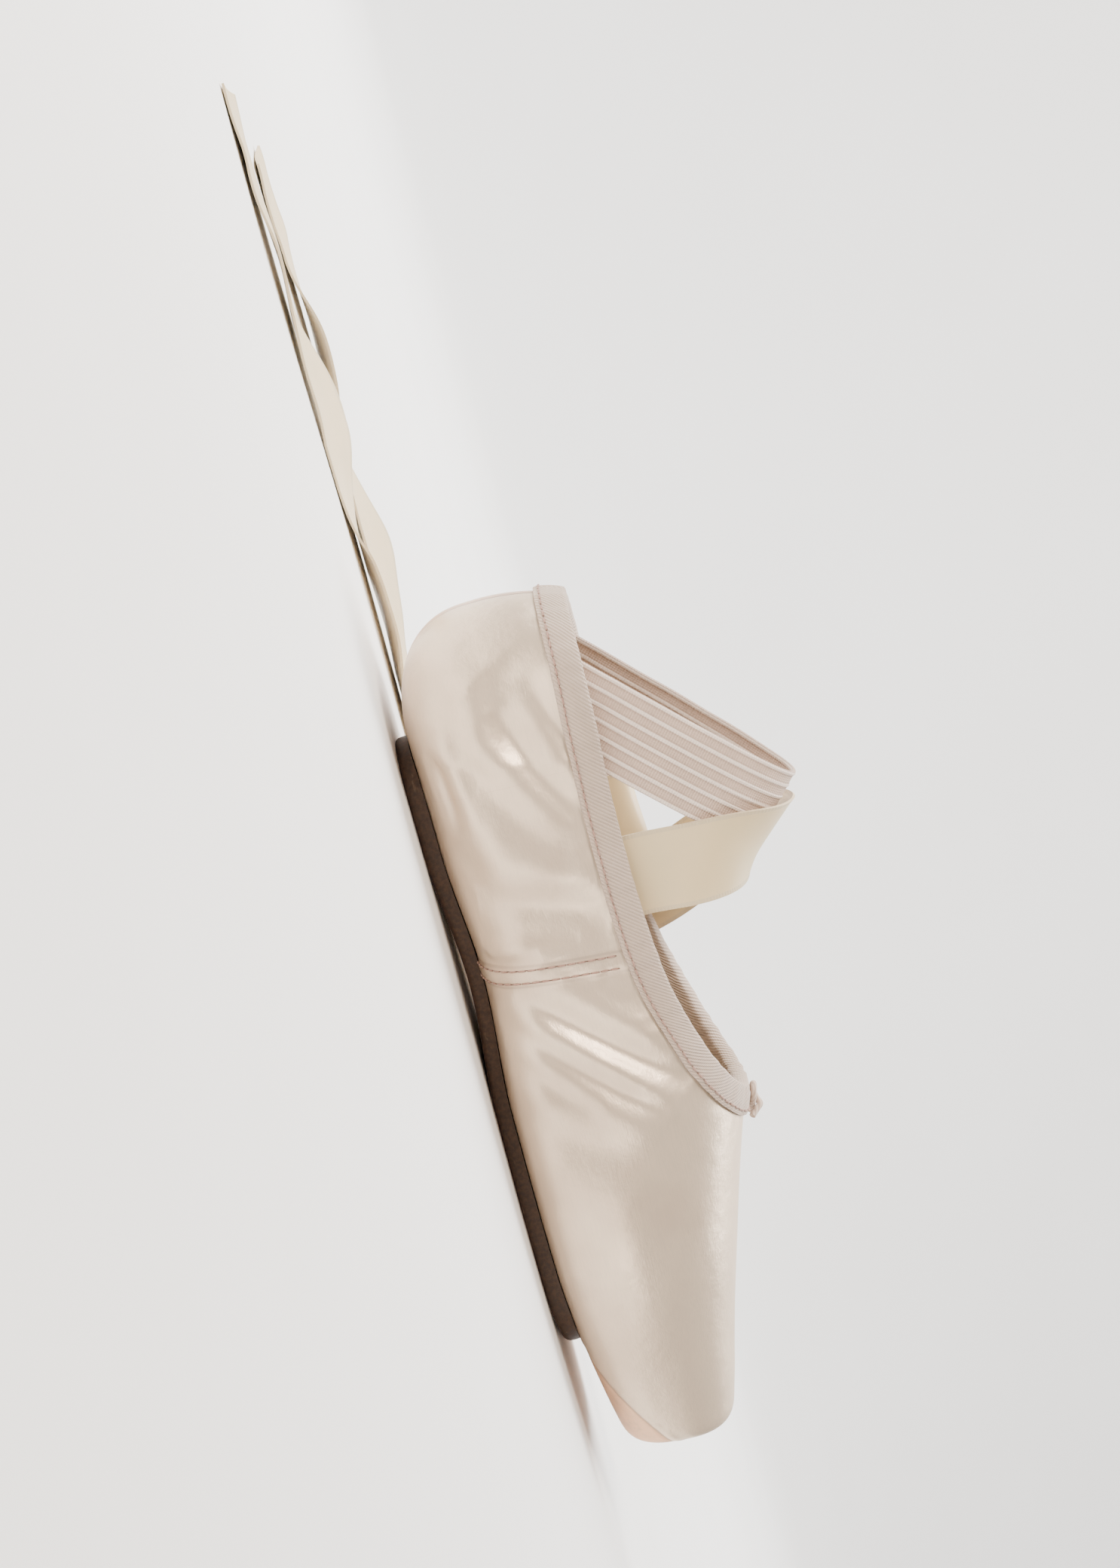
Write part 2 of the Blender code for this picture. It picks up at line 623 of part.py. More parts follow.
def build_elastic(made_of):
    """The elastic: tucked inside both quarters, then an arch that leans towards the toe."""
    seat = wall(0.0) + CLEARANCE + BINDING_THICKNESS + STRAP_CLEARANCE + 0.5 * ELASTIC_THICKNESS
    across = np.linspace(-0.5, 0.5, 5) * ELASTIC_WIDTH
    forward = np.array((math.cos(ELASTIC_LEAN), math.sin(ELASTIC_LEAN)))
    sideways = np.array((math.sin(ELASTIC_LEAN), -math.cos(ELASTIC_LEAN)))
    start = np.array((ELASTIC_PLACE, ELASTIC_FOOT_HEIGHT))
    foot = start + across[:, None] * sideways
    tuck = np.linspace(-ELASTIC_TUCK_LENGTH, 0.0, 5)[:-1]
    arc = np.linspace(0.0, 0.5 * math.pi, 13)
    side = []
    for rise in tuck:
        place = foot + rise * forward
        side.append(np.column_stack((place[:, 0], inner_side(place[:, 0], place[:, 1], seat), place[:, 1])))
    base = inner_side(foot[:, 0], foot[:, 1], seat)
    for turn in arc:
        rise = ELASTIC_RISE * math.sin(turn) ** 0.8
        place = foot + rise * forward
        side.append(np.column_stack((place[:, 0], base * math.cos(turn) ** 0.8, place[:, 1])))
    side = np.array(side)
    mirrored = side[-2::-1] * (1.0, -1.0, 1.0)
    middle = np.concatenate((side, mirrored))
    lengthwise = np.gradient(middle, axis=0)
    widthwise = np.gradient(middle, axis=1)
    normal = np.cross(lengthwise, widthwise)
    normal = normal / np.linalg.norm(normal, axis=2, keepdims=True)
    over = middle + normal * 0.5 * ELASTIC_THICKNESS
    under = middle - normal * 0.5 * ELASTIC_THICKNESS
    return band_solid("instep_elastic", np.concatenate((over, under[:, ::-1]), axis=1), made_of)


def route(points, spacing):
    """A smooth curve through a tie's own points, with the way that its width points."""
    points = np.array(points)
    steps = np.linalg.norm(np.diff(points[:, :3], axis=0), axis=1)
    travelled = np.concatenate(((0.0,), np.cumsum(steps)))
    count = int(round(travelled[-1] / spacing)) + 1
    places = np.linspace(0.0, travelled[-1], count)
    table = np.column_stack((travelled, points))
    path = np.column_stack([spline(table, column, places) for column in (1, 2, 3)])
    side = np.column_stack([spline(table, column, places) for column in (4, 5, 6)])
    ahead = np.gradient(path, axis=0)
    ahead = ahead / np.linalg.norm(ahead, axis=1, keepdims=True)
    side = side - ahead * (side * ahead).sum(axis=1, keepdims=True)
    side = side / np.linalg.norm(side, axis=1, keepdims=True)
    return path, side, np.cross(ahead, side)


def build_ribbon(name, points, made_of):
    """A tie: a plain flat strip along its route, no lower than the floor."""
    path, side, normal = route(points, 0.5 * RIBBON_WIDTH * 0.5)
    half = 0.5 * RIBBON_WIDTH * side
    lift = normal * 0.5 * RIBBON_THICKNESS
    corners = [path - half + lift, path + lift, path + half + lift, path + half - lift, path - lift, path - half - lift]
    loops = np.stack(corners, axis=1)
    low = loops[..., 2].min(axis=1)
    loops[..., 2] += np.maximum(0.0, CLEARANCE - low)[:, None]
    return band_solid(name, loops, made_of)


def build_knot(shell, made_of):
    """The drawstring's knot on the front of the throat: a small flat loop whose short ends cross."""
    front = shell.count // 2
    seat = shell.read(shell.upper[:, None] - 0.55 * BINDING_WIDTH)[front, 0]
    up = outward(seat[None])[0]
    ahead = np.cross((0.0, 1.0, 0.0), up)
    lift = CLEARANCE * 2.0 + BINDING_THICKNESS + 0.5 * DRAWSTRING_DIAMETER
    table = np.column_stack((np.arange(len(KNOT)), KNOT))
    places = np.linspace(0.0, len(KNOT) - 1.0, 31)
    forward, across, rise = (spline(table, column, places) * DRAWSTRING_DIAMETER for column in (1, 2, 3))
    rise = lift + np.maximum(rise, 0.0)
    path = seat + np.outer(forward, ahead) + np.outer(across, (0.0, 1.0, 0.0)) + np.outer(rise, up)
    along = np.gradient(path, axis=0)
    along = along / np.linalg.norm(along, axis=1, keepdims=True)
    first = np.cross(along, up)
    first = first / np.linalg.norm(first, axis=1, keepdims=True)
    second = np.cross(along, first)
    spin = np.arange(6) * math.pi / 3.0
    ring = first[:, None] * np.cos(spin)[None, :, None] + second[:, None] * np.sin(spin)[None, :, None]
    return band_solid("drawstring_knot", path[:, None] + 0.5 * DRAWSTRING_DIAMETER * ring, made_of)


def main():
    for thing in list(bpy.data.objects):
        bpy.data.objects.remove(thing, do_unlink=True)
    satin = material("pale_pink_satin", "#DCD0C3", 0.38)
    leather = material("buffed_sole_leather", "#9C8066", 0.75)
    lining = material("cotton_insole", "#D9CDBC", 0.85)
    tape = material("twill_binding", "#C9B6A8", 0.70)
    elastic = material("ribbed_elastic", "#C9B3A5", 0.70)
    ribbon = material("satin_ribbon", "#D2C5B0", 0.42)
    shell = Shell(RIBS)
    build_outsole(shell, leather)
    build_upper(shell, satin)
    build_insole(shell, lining)
    build_binding(shell, tape)
    build_elastic(elastic)
    build_knot(shell, tape)
    build_ribbon("ribbon_near", NEAR_RIBBON, ribbon)
    build_ribbon("ribbon_far", FAR_RIBBON, ribbon)


main()
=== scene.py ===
"""Satin pointe shoe: its looks, built round the fixed frame.

Metres, +Z up, toe towards +X. The last is one function of position, and every piece is a surface
read from it: ribs run from the bottom opening, round the outside, to the collar. Lengths along the
shoe are measured from the heel, and each piece is moved into the frame when it is made.
"""

import math
from functools import partial

import bmesh
import bpy
import numpy as np
from bpy.props import FloatProperty, FloatVectorProperty, IntProperty, PointerProperty
from mathutils import Matrix, Vector


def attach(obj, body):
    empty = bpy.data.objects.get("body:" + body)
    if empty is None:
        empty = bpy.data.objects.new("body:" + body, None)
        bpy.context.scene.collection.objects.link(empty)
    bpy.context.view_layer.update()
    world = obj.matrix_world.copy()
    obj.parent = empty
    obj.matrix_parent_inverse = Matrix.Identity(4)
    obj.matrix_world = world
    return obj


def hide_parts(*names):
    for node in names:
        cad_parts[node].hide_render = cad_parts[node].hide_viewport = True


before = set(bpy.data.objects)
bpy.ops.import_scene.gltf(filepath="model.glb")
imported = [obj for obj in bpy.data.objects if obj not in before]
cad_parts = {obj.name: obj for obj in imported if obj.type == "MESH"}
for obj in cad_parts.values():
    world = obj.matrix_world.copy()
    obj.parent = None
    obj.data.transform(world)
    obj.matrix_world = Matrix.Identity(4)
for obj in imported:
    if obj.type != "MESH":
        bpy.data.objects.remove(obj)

bl_info = {
    "name": "Pointe Shoe",
    "version": (1, 0, 0),
    "blender": (4, 5, 0),
    "location": "3D View > Sidebar > Pointe Shoe",
    "description": "Builds a satin pointe shoe piece by piece",
    "category": "Add Mesh",
}

# The frame's own sizes
LENGTH = 0.235
BALL_WIDTH = 0.074
INSTEP_HEIGHT = 0.066
HEEL_WIDTH = 0.057
VAMP_LENGTH = 0.090
PLATFORM_WIDTH = 0.045
PLATFORM_HEIGHT = 0.030
PLATFORM_TILT = math.radians(5.0)
PLATFORM_EDGE = 0.012
HEEL_ROUNDING = 0.030
CAP_POWER = 2.2
QUARTER_WALL = 0.0017
BOX_WALL = 0.0030
CLEARANCE = 0.0003
OUTSOLE_LENGTH = 0.172
OUTSOLE_WIDTH = 0.051
OUTSOLE_THICKNESS = 0.0036
OUTSOLE_BEVEL = 0.0009
OUTSOLE_MARGIN = 0.0055
ARCH_RISE = 0.0022
TOE_SPRING = 0.0058
INSOLE_THICKNESS = 0.0025
BINDING_WIDTH = 0.0075
BINDING_INNER_WIDTH = 0.0055
BINDING_THICKNESS = 0.0009
ELASTIC_WIDTH = 0.022
ELASTIC_THICKNESS = 0.0012
ELASTIC_RISE = 0.056
ELASTIC_TUCK_LENGTH = 0.014
ELASTIC_FOOT_HEIGHT = 0.053
ELASTIC_LEAN = math.radians(45.0)
ELASTIC_PLACE = 0.034
STRAP_CLEARANCE = 0.0012
RIBBON_WIDTH = 0.022
DRAWSTRING_DIAMETER = 0.0018
OUTSOLE_START = HEEL_ROUNDING
OUTSOLE_END = OUTSOLE_START + OUTSOLE_LENGTH
THROAT = LENGTH - VAMP_LENGTH
HEEL_CENTRE = 0.19 * LENGTH
TOE_CENTRE = THROAT - 0.3 * VAMP_LENGTH
PLATFORM_BOTTOM = OUTSOLE_THICKNESS + CLEARANCE + TOE_SPRING

# Mesh densities: ribs round the shoe, points along each outside, inside and while it is worked out
RIBS = 560
STEPS = 130
INNER_STEPS = 34
FINE_STEPS = 420
STITCH_STEPS = 10
STITCH_SIDES = 6
CORD_SIDES = 16
RIBBON_SPACING = 0.0016
RIBBON_COLUMNS = 17

# Seams of the satin, and how far they sink or rise
SIDE_SEAM_PLACE = 0.092
SIDE_SEAM_LEAN = 0.006
SIDE_SEAM_EDGE = 0.0027
SEAM_EDGE = 0.0005
SEAM_SOFTNESS = 0.0007
SEAM_GROOVE_DEPTH = 0.00016
SEAM_GROOVE_WIDTH = 0.0005
SEAM_GROOVE_PLACE = 0.0004
BACK_SEAM_DEPTH = 0.00028
BACK_SEAM_WIDTH = 0.0006
PANEL_SEAM_DEPTH = 0.00030
PANEL_SEAM_WIDTH = 0.00055
PANEL_START = OUTSOLE_END - 0.007
PANEL_TOP = PLATFORM_BOTTOM + 0.47 * PLATFORM_HEIGHT
PUCKER_PLACE = 0.0012
PUCKER_WIDTH = 0.0010
PUCKER_RISE = 0.00022
SWELL_RISE = 0.00022
GATHER_REACH = 0.0050

# Details of the binding, the elastic, the outsole and the ties; points nearer than WELD are joined
THREAD_INSET = 0.0014
BINDING_BELLY = 0.00022
BINDING_EDGE_ROUNDING = 0.0004
BINDING_TURN = 0.004
ELASTIC_SELVEDGE = 0.0006
ELASTIC_CORD_WIDTH = 0.0005
DIAMOND_PITCH = 0.0038
DIAMOND_SLOPE = 1.35
FLOOR_GAP = 0.0003
WELD = 0.000002

# Lights: name, place, aim, size, power in watts, colour
LIGHTS = (
    ("key_light", (-0.70, -0.80, 1.00), (-0.02, 0.0, 0.04), 0.45, 24.0, "#FFF4E8"),
    ("rim_light", (-0.95, 0.55, 0.70), (-0.02, 0.0, 0.04), 0.7, 24.0, "#FFFFFF"),
    ("low_light", (0.50, -1.05, 0.14), (0.05, 0.0, 0.02), 0.25, 2.5, "#FFF7EE"),
    ("top_light", (0.3, 0.5, 1.5), (-0.02, 0.0, 0.04), 1.0, 34.0, "#FFFFFF"),
    ("backdrop_light", (0.0, 0.7, 1.9), (0.0, 2.1, 0.5), 1.6, 80.0, "#FFFFFF"),
)
WORLD_STRENGTH = 0.35

# The camera: turned towards the heel, just above the floor, rolled so that the toe points down
CAMERA_TURN = math.radians(-12.0)
CAMERA_RISE = math.radians(2.2)
CAMERA_ROLL = math.radians(75.0)
CAMERA_TARGET = (-0.058, 0.03, 0.038)
CAMERA_DISTANCE = 1.05
CAMERA_LENS = 88.0

# The sweep behind the shoe: where it starts to rise, the radius of its curve, its height and half width
SWEEP_FLOOR = -0.00005
SWEEP_START = 1.4
SWEEP_RADIUS = 0.7
SWEEP_HEIGHT = 3.0
SWEEP_HALF_WIDTH = 3.0

# Sections of the last: along in shares of LENGTH, half width of BALL_WIDTH, heights of INSTEP_HEIGHT
SECTIONS = (
    # along, half_width, widest, crown, power_above, power_below
    (0.00, 0.372, 0.42, 1.20, 2.2, 3.2),
    (0.13, 0.384, 0.40, 1.20, 2.2, 3.2),
    (0.30, 0.386, 0.39, 1.17, 2.2, 3.0),
    (0.45, 0.425, 0.36, 1.13, 2.2, 3.4),
    (0.60, 0.486, 0.32, 1.02, 2.2, 4.2),
    (0.71, 0.500, 0.30, 0.895, 2.25, 4.4),
    (0.82, 0.462, 0.30, 0.775, 2.35, 3.8),
    (0.92, 0.382, 0.33, 0.675, 2.45, 3.0),
    (1.00, 0.304, 0.375, 0.600, 2.6, 2.6),
)

# Collar line from the side: along in shares of THROAT, height of INSTEP_HEIGHT
COLLAR = (
    # along, height
    (0.00, 0.805),
    (0.12, 0.798),
    (0.35, 0.778),
    (0.60, 0.775),
    (0.73, 0.800),
    (0.82, 0.845),
    (0.90, 0.897),
    (0.96, 0.950),
    (1.00, 0.992),
    (1.06, 1.060),
    (1.20, 1.240),
)

# Outline of the outsole: along in shares of OUTSOLE_LENGTH, half width of OUTSOLE_WIDTH
OUTSOLE_OUTLINE = (
    # along, half_width
    (0.00, 0.275),
    (0.10, 0.285),
    (0.22, 0.268),
    (0.37, 0.262),
    (0.50, 0.335),
    (0.64, 0.440),
    (0.80, 0.500),
    (0.92, 0.478),
    (1.00, 0.440),
)

# Routes of the two ties: x from the heel, y, z, then the way that the tie's width points
NEAR_RIBBON = (
    (0.0770, -0.0236, 0.0370, 1.0, 0.0, 0.0),
    (0.0771, -0.0230, 0.0450, 1.0, 0.0, 0.0),
    (0.0773, -0.0216, 0.0525, 1.0, 0.0, 0.0),
    (0.0777, -0.0216, 0.0605, 1.0, 0.0, -0.1),
    (0.0784, -0.0212, 0.0690, 1.0, 0.0, -0.3),
    (0.0790, -0.0188, 0.0770, 1.0, 0.0, -0.5),
    (0.0795, -0.0135, 0.0845, 1.0, 0.0, -0.8),
    (0.0797, -0.0070, 0.0890, 1.0, 0.0, -1.0),
    (0.0798, 0.0000, 0.0906, 1.0, 0.0, -1.0),
    (0.0801, 0.0075, 0.0888, 1.0, 0.0, -1.0),
    (0.0812, 0.0150, 0.0835, 1.0, 0.0, -0.8),
    (0.0845, 0.0215, 0.0755, 1.0, 0.0, -0.5),
    (0.0895, 0.0270, 0.0662, 1.0, 0.0, -0.3),
    (0.0940, 0.0315, 0.0572, 1.0, 0.0, -0.1),
    (0.0975, 0.0355, 0.0480, 1.0, 0.0, 0.0),
    (0.1000, 0.0390, 0.0380, 1.0, 0.0, 0.0),
    (0.1018, 0.0420, 0.0275, 1.0, 0.0, 0.0),
    (0.1030, 0.0460, 0.0170, 1.0, 0.0, -0.1),
    (0.1030, 0.0530, 0.0090, 1.0, 0.0, -0.2),
    (0.1025, 0.0645, 0.0070, 0.9, 0.1, -0.5),
    (0.0970, 0.0765, 0.0078, 0.8, 0.4, -0.7),
    (0.0870, 0.0860, 0.0084, 0.5, 0.6, -0.8),
    (0.0740, 0.0925, 0.0080, 0.2, 0.8, -0.7),
    (0.0590, 0.0952, 0.0058, 0.0, 1.0, -0.5),
    (0.0420, 0.0950, 0.0030, -0.1, 1.0, -0.2),
    (0.0240, 0.0925, 0.0018, -0.1, 1.0, 0.1),
    (0.0050, 0.0900, 0.0032, -0.1, 1.0, 0.2),
    (-0.0140, 0.0895, 0.0035, 0.0, 1.0, 0.2),
    (-0.0330, 0.0915, 0.0015, 0.1, 1.0, 0.0),
    (-0.0520, 0.0945, 0.0028, 0.1, 1.0, -0.2),
    (-0.0710, 0.0960, 0.0034, 0.0, 1.0, -0.2),
    (-0.0900, 0.0945, 0.0014, -0.1, 1.0, 0.0),
    (-0.1080, 0.0915, 0.0010, -0.2, 1.0, 0.0),
    (-0.1240, 0.0885, 0.0010, -0.2, 1.0, 0.0),
)
FAR_RIBBON = (
    (0.0700, 0.0233, 0.0370, 1.0, 0.0, 0.0),
    (0.0700, 0.0227, 0.0450, 1.0, 0.0, 0.0),
    (0.0698, 0.0211, 0.0520, 1.0, 0.0, 0.0),
    (0.0694, 0.0230, 0.0565, 1.0, 0.0, 0.0),
    (0.0688, 0.0288, 0.0572, 1.0, 0.1, 0.0),
    (0.0680, 0.0343, 0.0530, 0.9, 0.2, 0.1),
    (0.0670, 0.0385, 0.0450, 0.8, 0.5, 0.1),
    (0.0654, 0.0425, 0.0345, 0.6, 0.8, 0.1),
    (0.0625, 0.0462, 0.0230, 0.3, 1.0, 0.1),
    (0.0570, 0.0490, 0.0120, 0.1, 1.0, 0.0),
    (0.0460, 0.0510, 0.0048, 0.0, 1.0, -0.1),
    (0.0320, 0.0525, 0.0018, 0.0, 1.0, -0.1),
    (0.0150, 0.0545, 0.0030, 0.1, 1.0, -0.2),
    (-0.0030, 0.0560, 0.0030, 0.1, 1.0, -0.2),
    (-0.0220, 0.0560, 0.0015, 0.0, 1.0, 0.0),
    (-0.0410, 0.0535, 0.0030, -0.1, 1.0, 0.2),
    (-0.0600, 0.0500, 0.0034, -0.2, 1.0, 0.2),
    (-0.0780, 0.0470, 0.0016, -0.1, 1.0, 0.0),
    (-0.0960, 0.0455, 0.0026, 0.0, 1.0, -0.1),
    (-0.1140, 0.0460, 0.0014, 0.1, 1.0, 0.0),
    (-0.1300, 0.0480, 0.0010, 0.1, 1.0, 0.0),
    (-0.1440, 0.0505, 0.0010, 0.1, 1.0, 0.0),
)

# The drawstring's knot, in drawstring diameters from its seat on the binding: a loop whose ends cross
KNOT = (
    # ahead, side, rise
    (2.6, 1.5, 0.0),
    (1.6, 0.5, 0.0),
    (0.5, -0.75, 0.0),
    (-0.7, -1.4, 0.0),
    (-1.8, -0.7, 0.0),
    (-1.8, 0.7, 0.0),
    (-0.7, 1.4, 0.1),
    (0.5, 0.75, 0.7),
    (1.05, 0.0, 1.15),
    (1.7, -0.6, 0.7),
    (2.6, -1.5, 0.0),
)

# Creases, seen from the side: three places (along in shares of LENGTH, height of INSTEP_HEIGHT)
# that a trough bends past, then its half width and its depth.
NEAR_CREASES = (
    # x0, z0, x1, z1, x2, z2, width, depth
    (0.418, 0.20, 0.470, 0.42, 0.572, 0.81, 0.0036, 0.00165),
    (0.436, 0.12, 0.512, 0.35, 0.596, 0.70, 0.0031, 0.00130),
    (0.482, 0.14, 0.530, 0.26, 0.572, 0.44, 0.0028, 0.00080),
    (0.376, 0.11, 0.386, 0.20, 0.380, 0.36, 0.0019, 0.00095),
    (0.312, 0.16, 0.328, 0.40, 0.362, 0.68, 0.0055, 0.00175),
    (0.350, 0.13, 0.352, 0.32, 0.374, 0.54, 0.0026, 0.00065),
    (0.060, 0.44, 0.110, 0.56, 0.170, 0.52, 0.0100, 0.00190),
    (0.100, 0.42, 0.170, 0.50, 0.256, 0.68, 0.0040, 0.00115),
    (0.150, 0.30, 0.220, 0.38, 0.300, 0.60, 0.0050, 0.00090),
    (0.070, 0.60, 0.125, 0.64, 0.205, 0.74, 0.0032, 0.00080),
    (0.125, 0.140, 0.175, 0.170, 0.236, 0.18, 0.0021, 0.00110),
    (0.050, 0.25, 0.115, 0.25, 0.190, 0.31, 0.0042, 0.00085),
    (0.235, 0.13, 0.270, 0.22, 0.296, 0.18, 0.0034, 0.00060),
    (0.640, 0.20, 0.760, 0.17, 0.880, 0.20, 0.0060, 0.00045),
    (0.590, 0.66, 0.690, 0.58, 0.800, 0.44, 0.0070, 0.00040),
    (0.556, 0.16, 0.600, 0.34, 0.650, 0.56, 0.0055, 0.00055),
)
FAR_CREASES = (
    (0.424, 0.22, 0.478, 0.44, 0.566, 0.79, 0.0036, 0.00140),
    (0.452, 0.16, 0.520, 0.38, 0.604, 0.70, 0.0031, 0.00105),
    (0.380, 0.12, 0.388, 0.22, 0.382, 0.38, 0.0020, 0.00080),
    (0.320, 0.18, 0.334, 0.40, 0.360, 0.66, 0.0052, 0.00150),
    (0.068, 0.42, 0.120, 0.54, 0.180, 0.50, 0.0096, 0.00165),
    (0.112, 0.40, 0.182, 0.50, 0.262, 0.68, 0.0040, 0.00100),
    (0.078, 0.59, 0.132, 0.63, 0.212, 0.74, 0.0032, 0.00070),
    (0.134, 0.145, 0.182, 0.17, 0.242, 0.18, 0.0022, 0.00090),
    (0.245, 0.13, 0.280, 0.22, 0.306, 0.18, 0.0034, 0.00055),
    (0.660, 0.20, 0.770, 0.18, 0.890, 0.21, 0.0060, 0.00045),
    (0.570, 0.18, 0.612, 0.36, 0.660, 0.56, 0.0055, 0.00050),
)

cache = {}


def linear(code):
    """Linear colour with alpha from an sRGB hex code."""
    values = [int(code[i : i + 2], 16) / 255.0 for i in (1, 3, 5)]
    return tuple(v / 12.92 if v <= 0.04045 else ((v + 0.055) / 1.055) ** 2.4 for v in values) + (1.0,)


def length_property(name, description, length):
    """A length setting in metres."""
    return FloatProperty(
        name=name, description=description, default=length, unit="LENGTH", subtype="DISTANCE"
    )


def colour_property(name, description, code):
    """A colour setting with an sRGB default."""
    return FloatVectorProperty(
        name=name, description=description, default=linear(code), size=4, min=0.0, max=1.0, subtype="COLOR"
    )


class PointeSizes(bpy.types.PropertyGroup):
    """Sizes of the details that lie on the frame."""

    crease_depth: FloatProperty(
        name="Crease depth", description="Scale of all troughs in the satin", default=1.25, min=0.0, max=2.0
    )
    seam_width: length_property("Seam width", "Width of the raised side seam", 0.0048)
    seam_rise: length_property("Seam rise", "Height of the side seam over the satin", 0.00038)
    seam_stitch_gap: length_property("Stitch gap", "Distance between the seam's two stitch rows", 0.0034)
    seam_stitch_pitch: length_property(
        "Stitch pitch", "Length of one stitch in the satin and the tape", 0.0026
    )
    seam_thread: length_property("Thread radius", "Radius of the sewing thread", 0.00028)
    gather_pitch: length_property("Gather pitch", "Distance between the gathers of the collar", 0.0068)
    gather_depth: length_property("Gather depth", "Depth of the gathers of the collar", 0.00022)
    channel_inset: length_property(
        "Channel inset", "Distance of the stitch channel from the outsole's edge", 0.0046
    )
    channel_width: length_property("Channel width", "Half width of the stitch channel", 0.0007)
    channel_depth: length_property("Channel depth", "Depth of the stitch channel", 0.0008)
    sole_stitches: IntProperty(
        name="Outsole stitches", description="Number of stitches round the outsole", default=96, min=10
    )
    sole_thread: length_property("Outsole thread radius", "Radius of the outsole's thread", 0.00034)
    elastic_bands: IntProperty(
        name="Elastic bands",
        description="Number of flat bands between the elastic's cords",
        default=6,
        min=1,
    )
    elastic_cord_height: length_property(
        "Elastic cord height", "Height of each cord over the elastic's bands", 0.00036
    )
    ribbon_thickness: length_property("Ribbon thickness", "Thickness of the ties", 0.0005)


class PointeColours(bpy.types.PropertyGroup):
    """Colours of the shoe's materials."""

    satin: colour_property("Satin", "The satin's own colour", "#E2CBB1")
    satin_shade: colour_property("Satin shade", "The duller places of the satin", "#C3AC94")
    under_toe: colour_property("Under-toe panel", "The pinker panel under the toe", "#E4B996")
    seam_line: colour_property("Back seam", "The thin line of the back seam", "#7A5648")
    thread: colour_property("Thread", "Thread of the side seams and the binding", "#AE8675")
    lining: colour_property("Lining", "Cotton inside the upper", "#DACCBD")
    insole: colour_property("Insole", "Cotton sock", "#D6C9B6")
    tape: colour_property("Binding", "Twill tape round the collar", "#C4AD9B")
    elastic: colour_property("Elastic", "Ribbed elastic", "#C9AE9B")
    elastic_line: colour_property("Elastic lines", "The elastic's lighter cords", "#E8D6C8")
    ribbon: colour_property("Ribbon", "The ties", "#D6BE92")
    leather: colour_property("Outsole", "Buffed leather", "#A88A6E")
    leather_worn: colour_property("Worn outsole", "Handled places of the leather", "#8C7058")
    leather_edge: colour_property("Outsole edge", "The dyed edge and bevel", "#3A2A1F")
    scoring: colour_property("Scoring", "The cuts across the forefoot", "#5E4633")
    sole_thread: colour_property("Outsole thread", "Waxed thread in the channel", "#E2CDB0")
    hole: colour_property("Stitch holes", "Holes and channel of the outsole", "#3A281C")
    floor: colour_property("Floor", "Plain studio floor", "#F3F1EE")


# Surfaces of the last


def spline(table, column, places):
    """A natural cubic through one column of a table, read at places and straight past its ends."""
    knots = np.array([row[0] for row in table], dtype=float)
    values = np.array([row[column] for row in table], dtype=float)
    count = len(knots)
    gaps = np.diff(knots)
    system = np.eye(count)
    right = np.zeros(count)
    for i in range(1, count - 1):
        system[i, i - 1] = gaps[i - 1]
        system[i, i] = 2.0 * (gaps[i - 1] + gaps[i])
        system[i, i + 1] = gaps[i]
        right[i] = 6.0 * ((values[i + 1] - values[i]) / gaps[i] - (values[i] - values[i - 1]) / gaps[i - 1])
    bends = np.linalg.solve(system, right)
    places = np.asarray(places, dtype=float)
    inside = np.clip(places, knots[0], knots[-1])
    i = np.clip(np.searchsorted(knots, inside, side="right") - 1, 0, count - 2)
    left = (knots[i + 1] - inside) / gaps[i]
    ahead = 1.0 - left
    smooth = left * values[i] + ahead * values[i + 1]
    smooth = smooth + ((left**3 - left) * bends[i] + (ahead**3 - ahead) * bends[i + 1]) * gaps[i] ** 2 / 6.0
    first = (values[1] - values[0]) / gaps[0] - gaps[0] * bends[1] / 6.0
    final = (values[-1] - values[-2]) / gaps[-1] + gaps[-1] * bends[-2] / 6.0
    smooth = smooth + np.minimum(places - knots[0], 0.0) * first
    return smooth + np.maximum(places - knots[-1], 0.0) * final


GRID = np.linspace(0.0, 1.0, 4001)
SECTION_READ = [spline(SECTIONS, column, GRID) for column in range(1, 6)]
OUTSOLE_READ = spline(OUTSOLE_OUTLINE, 1, GRID)
COLLAR_GRID = np.linspace(-0.2, 1.8, 4001)
COLLAR_READ = spline(COLLAR, 1, COLLAR_GRID)


def ease(values):
    """A smooth step from 0 to 1."""
    values = np.clip(values, 0.0, 1.0)
    return values * values * (3.0 - 2.0 * values)


def bell(away, width):
    """A rounded bump: 1 at zero, and e to the minus one a width away."""
    return np.exp(-((away / width) ** 2))


def unit(vectors):
    """Vectors brought to length 1."""
    return vectors / np.linalg.norm(vectors, axis=-1, keepdims=True)


def lengths_along(path):
    """Length along a path up to each of its points."""
    return np.concatenate(((0.0,), np.cumsum(np.linalg.norm(np.diff(path, axis=0), axis=1))))


def read_along(lengths, values, places):
    """Rows of values known at lengths, read at places between them."""
    return np.column_stack([np.interp(places, lengths, column) for column in values.T])


def sole_rise(x):
    """Height of the outsole's underside: flat at heel and forefoot, arched between, sprung at the toe."""
    heel_flat_end = OUTSOLE_START + 0.17 * OUTSOLE_LENGTH
    ball_flat_start = OUTSOLE_START + 0.60 * OUTSOLE_LENGTH
    ball_flat_end = OUTSOLE_START + 0.86 * OUTSOLE_LENGTH
    along = np.clip((x - heel_flat_end) / (ball_flat_start - heel_flat_end), 0.0, 1.0)
    arch = ARCH_RISE * np.sin(math.pi * along) ** 2
    forward = np.clip((x - ball_flat_end) / (LENGTH - ball_flat_end), 0.0, 1.2)
    return arch + TOE_SPRING * forward**1.6


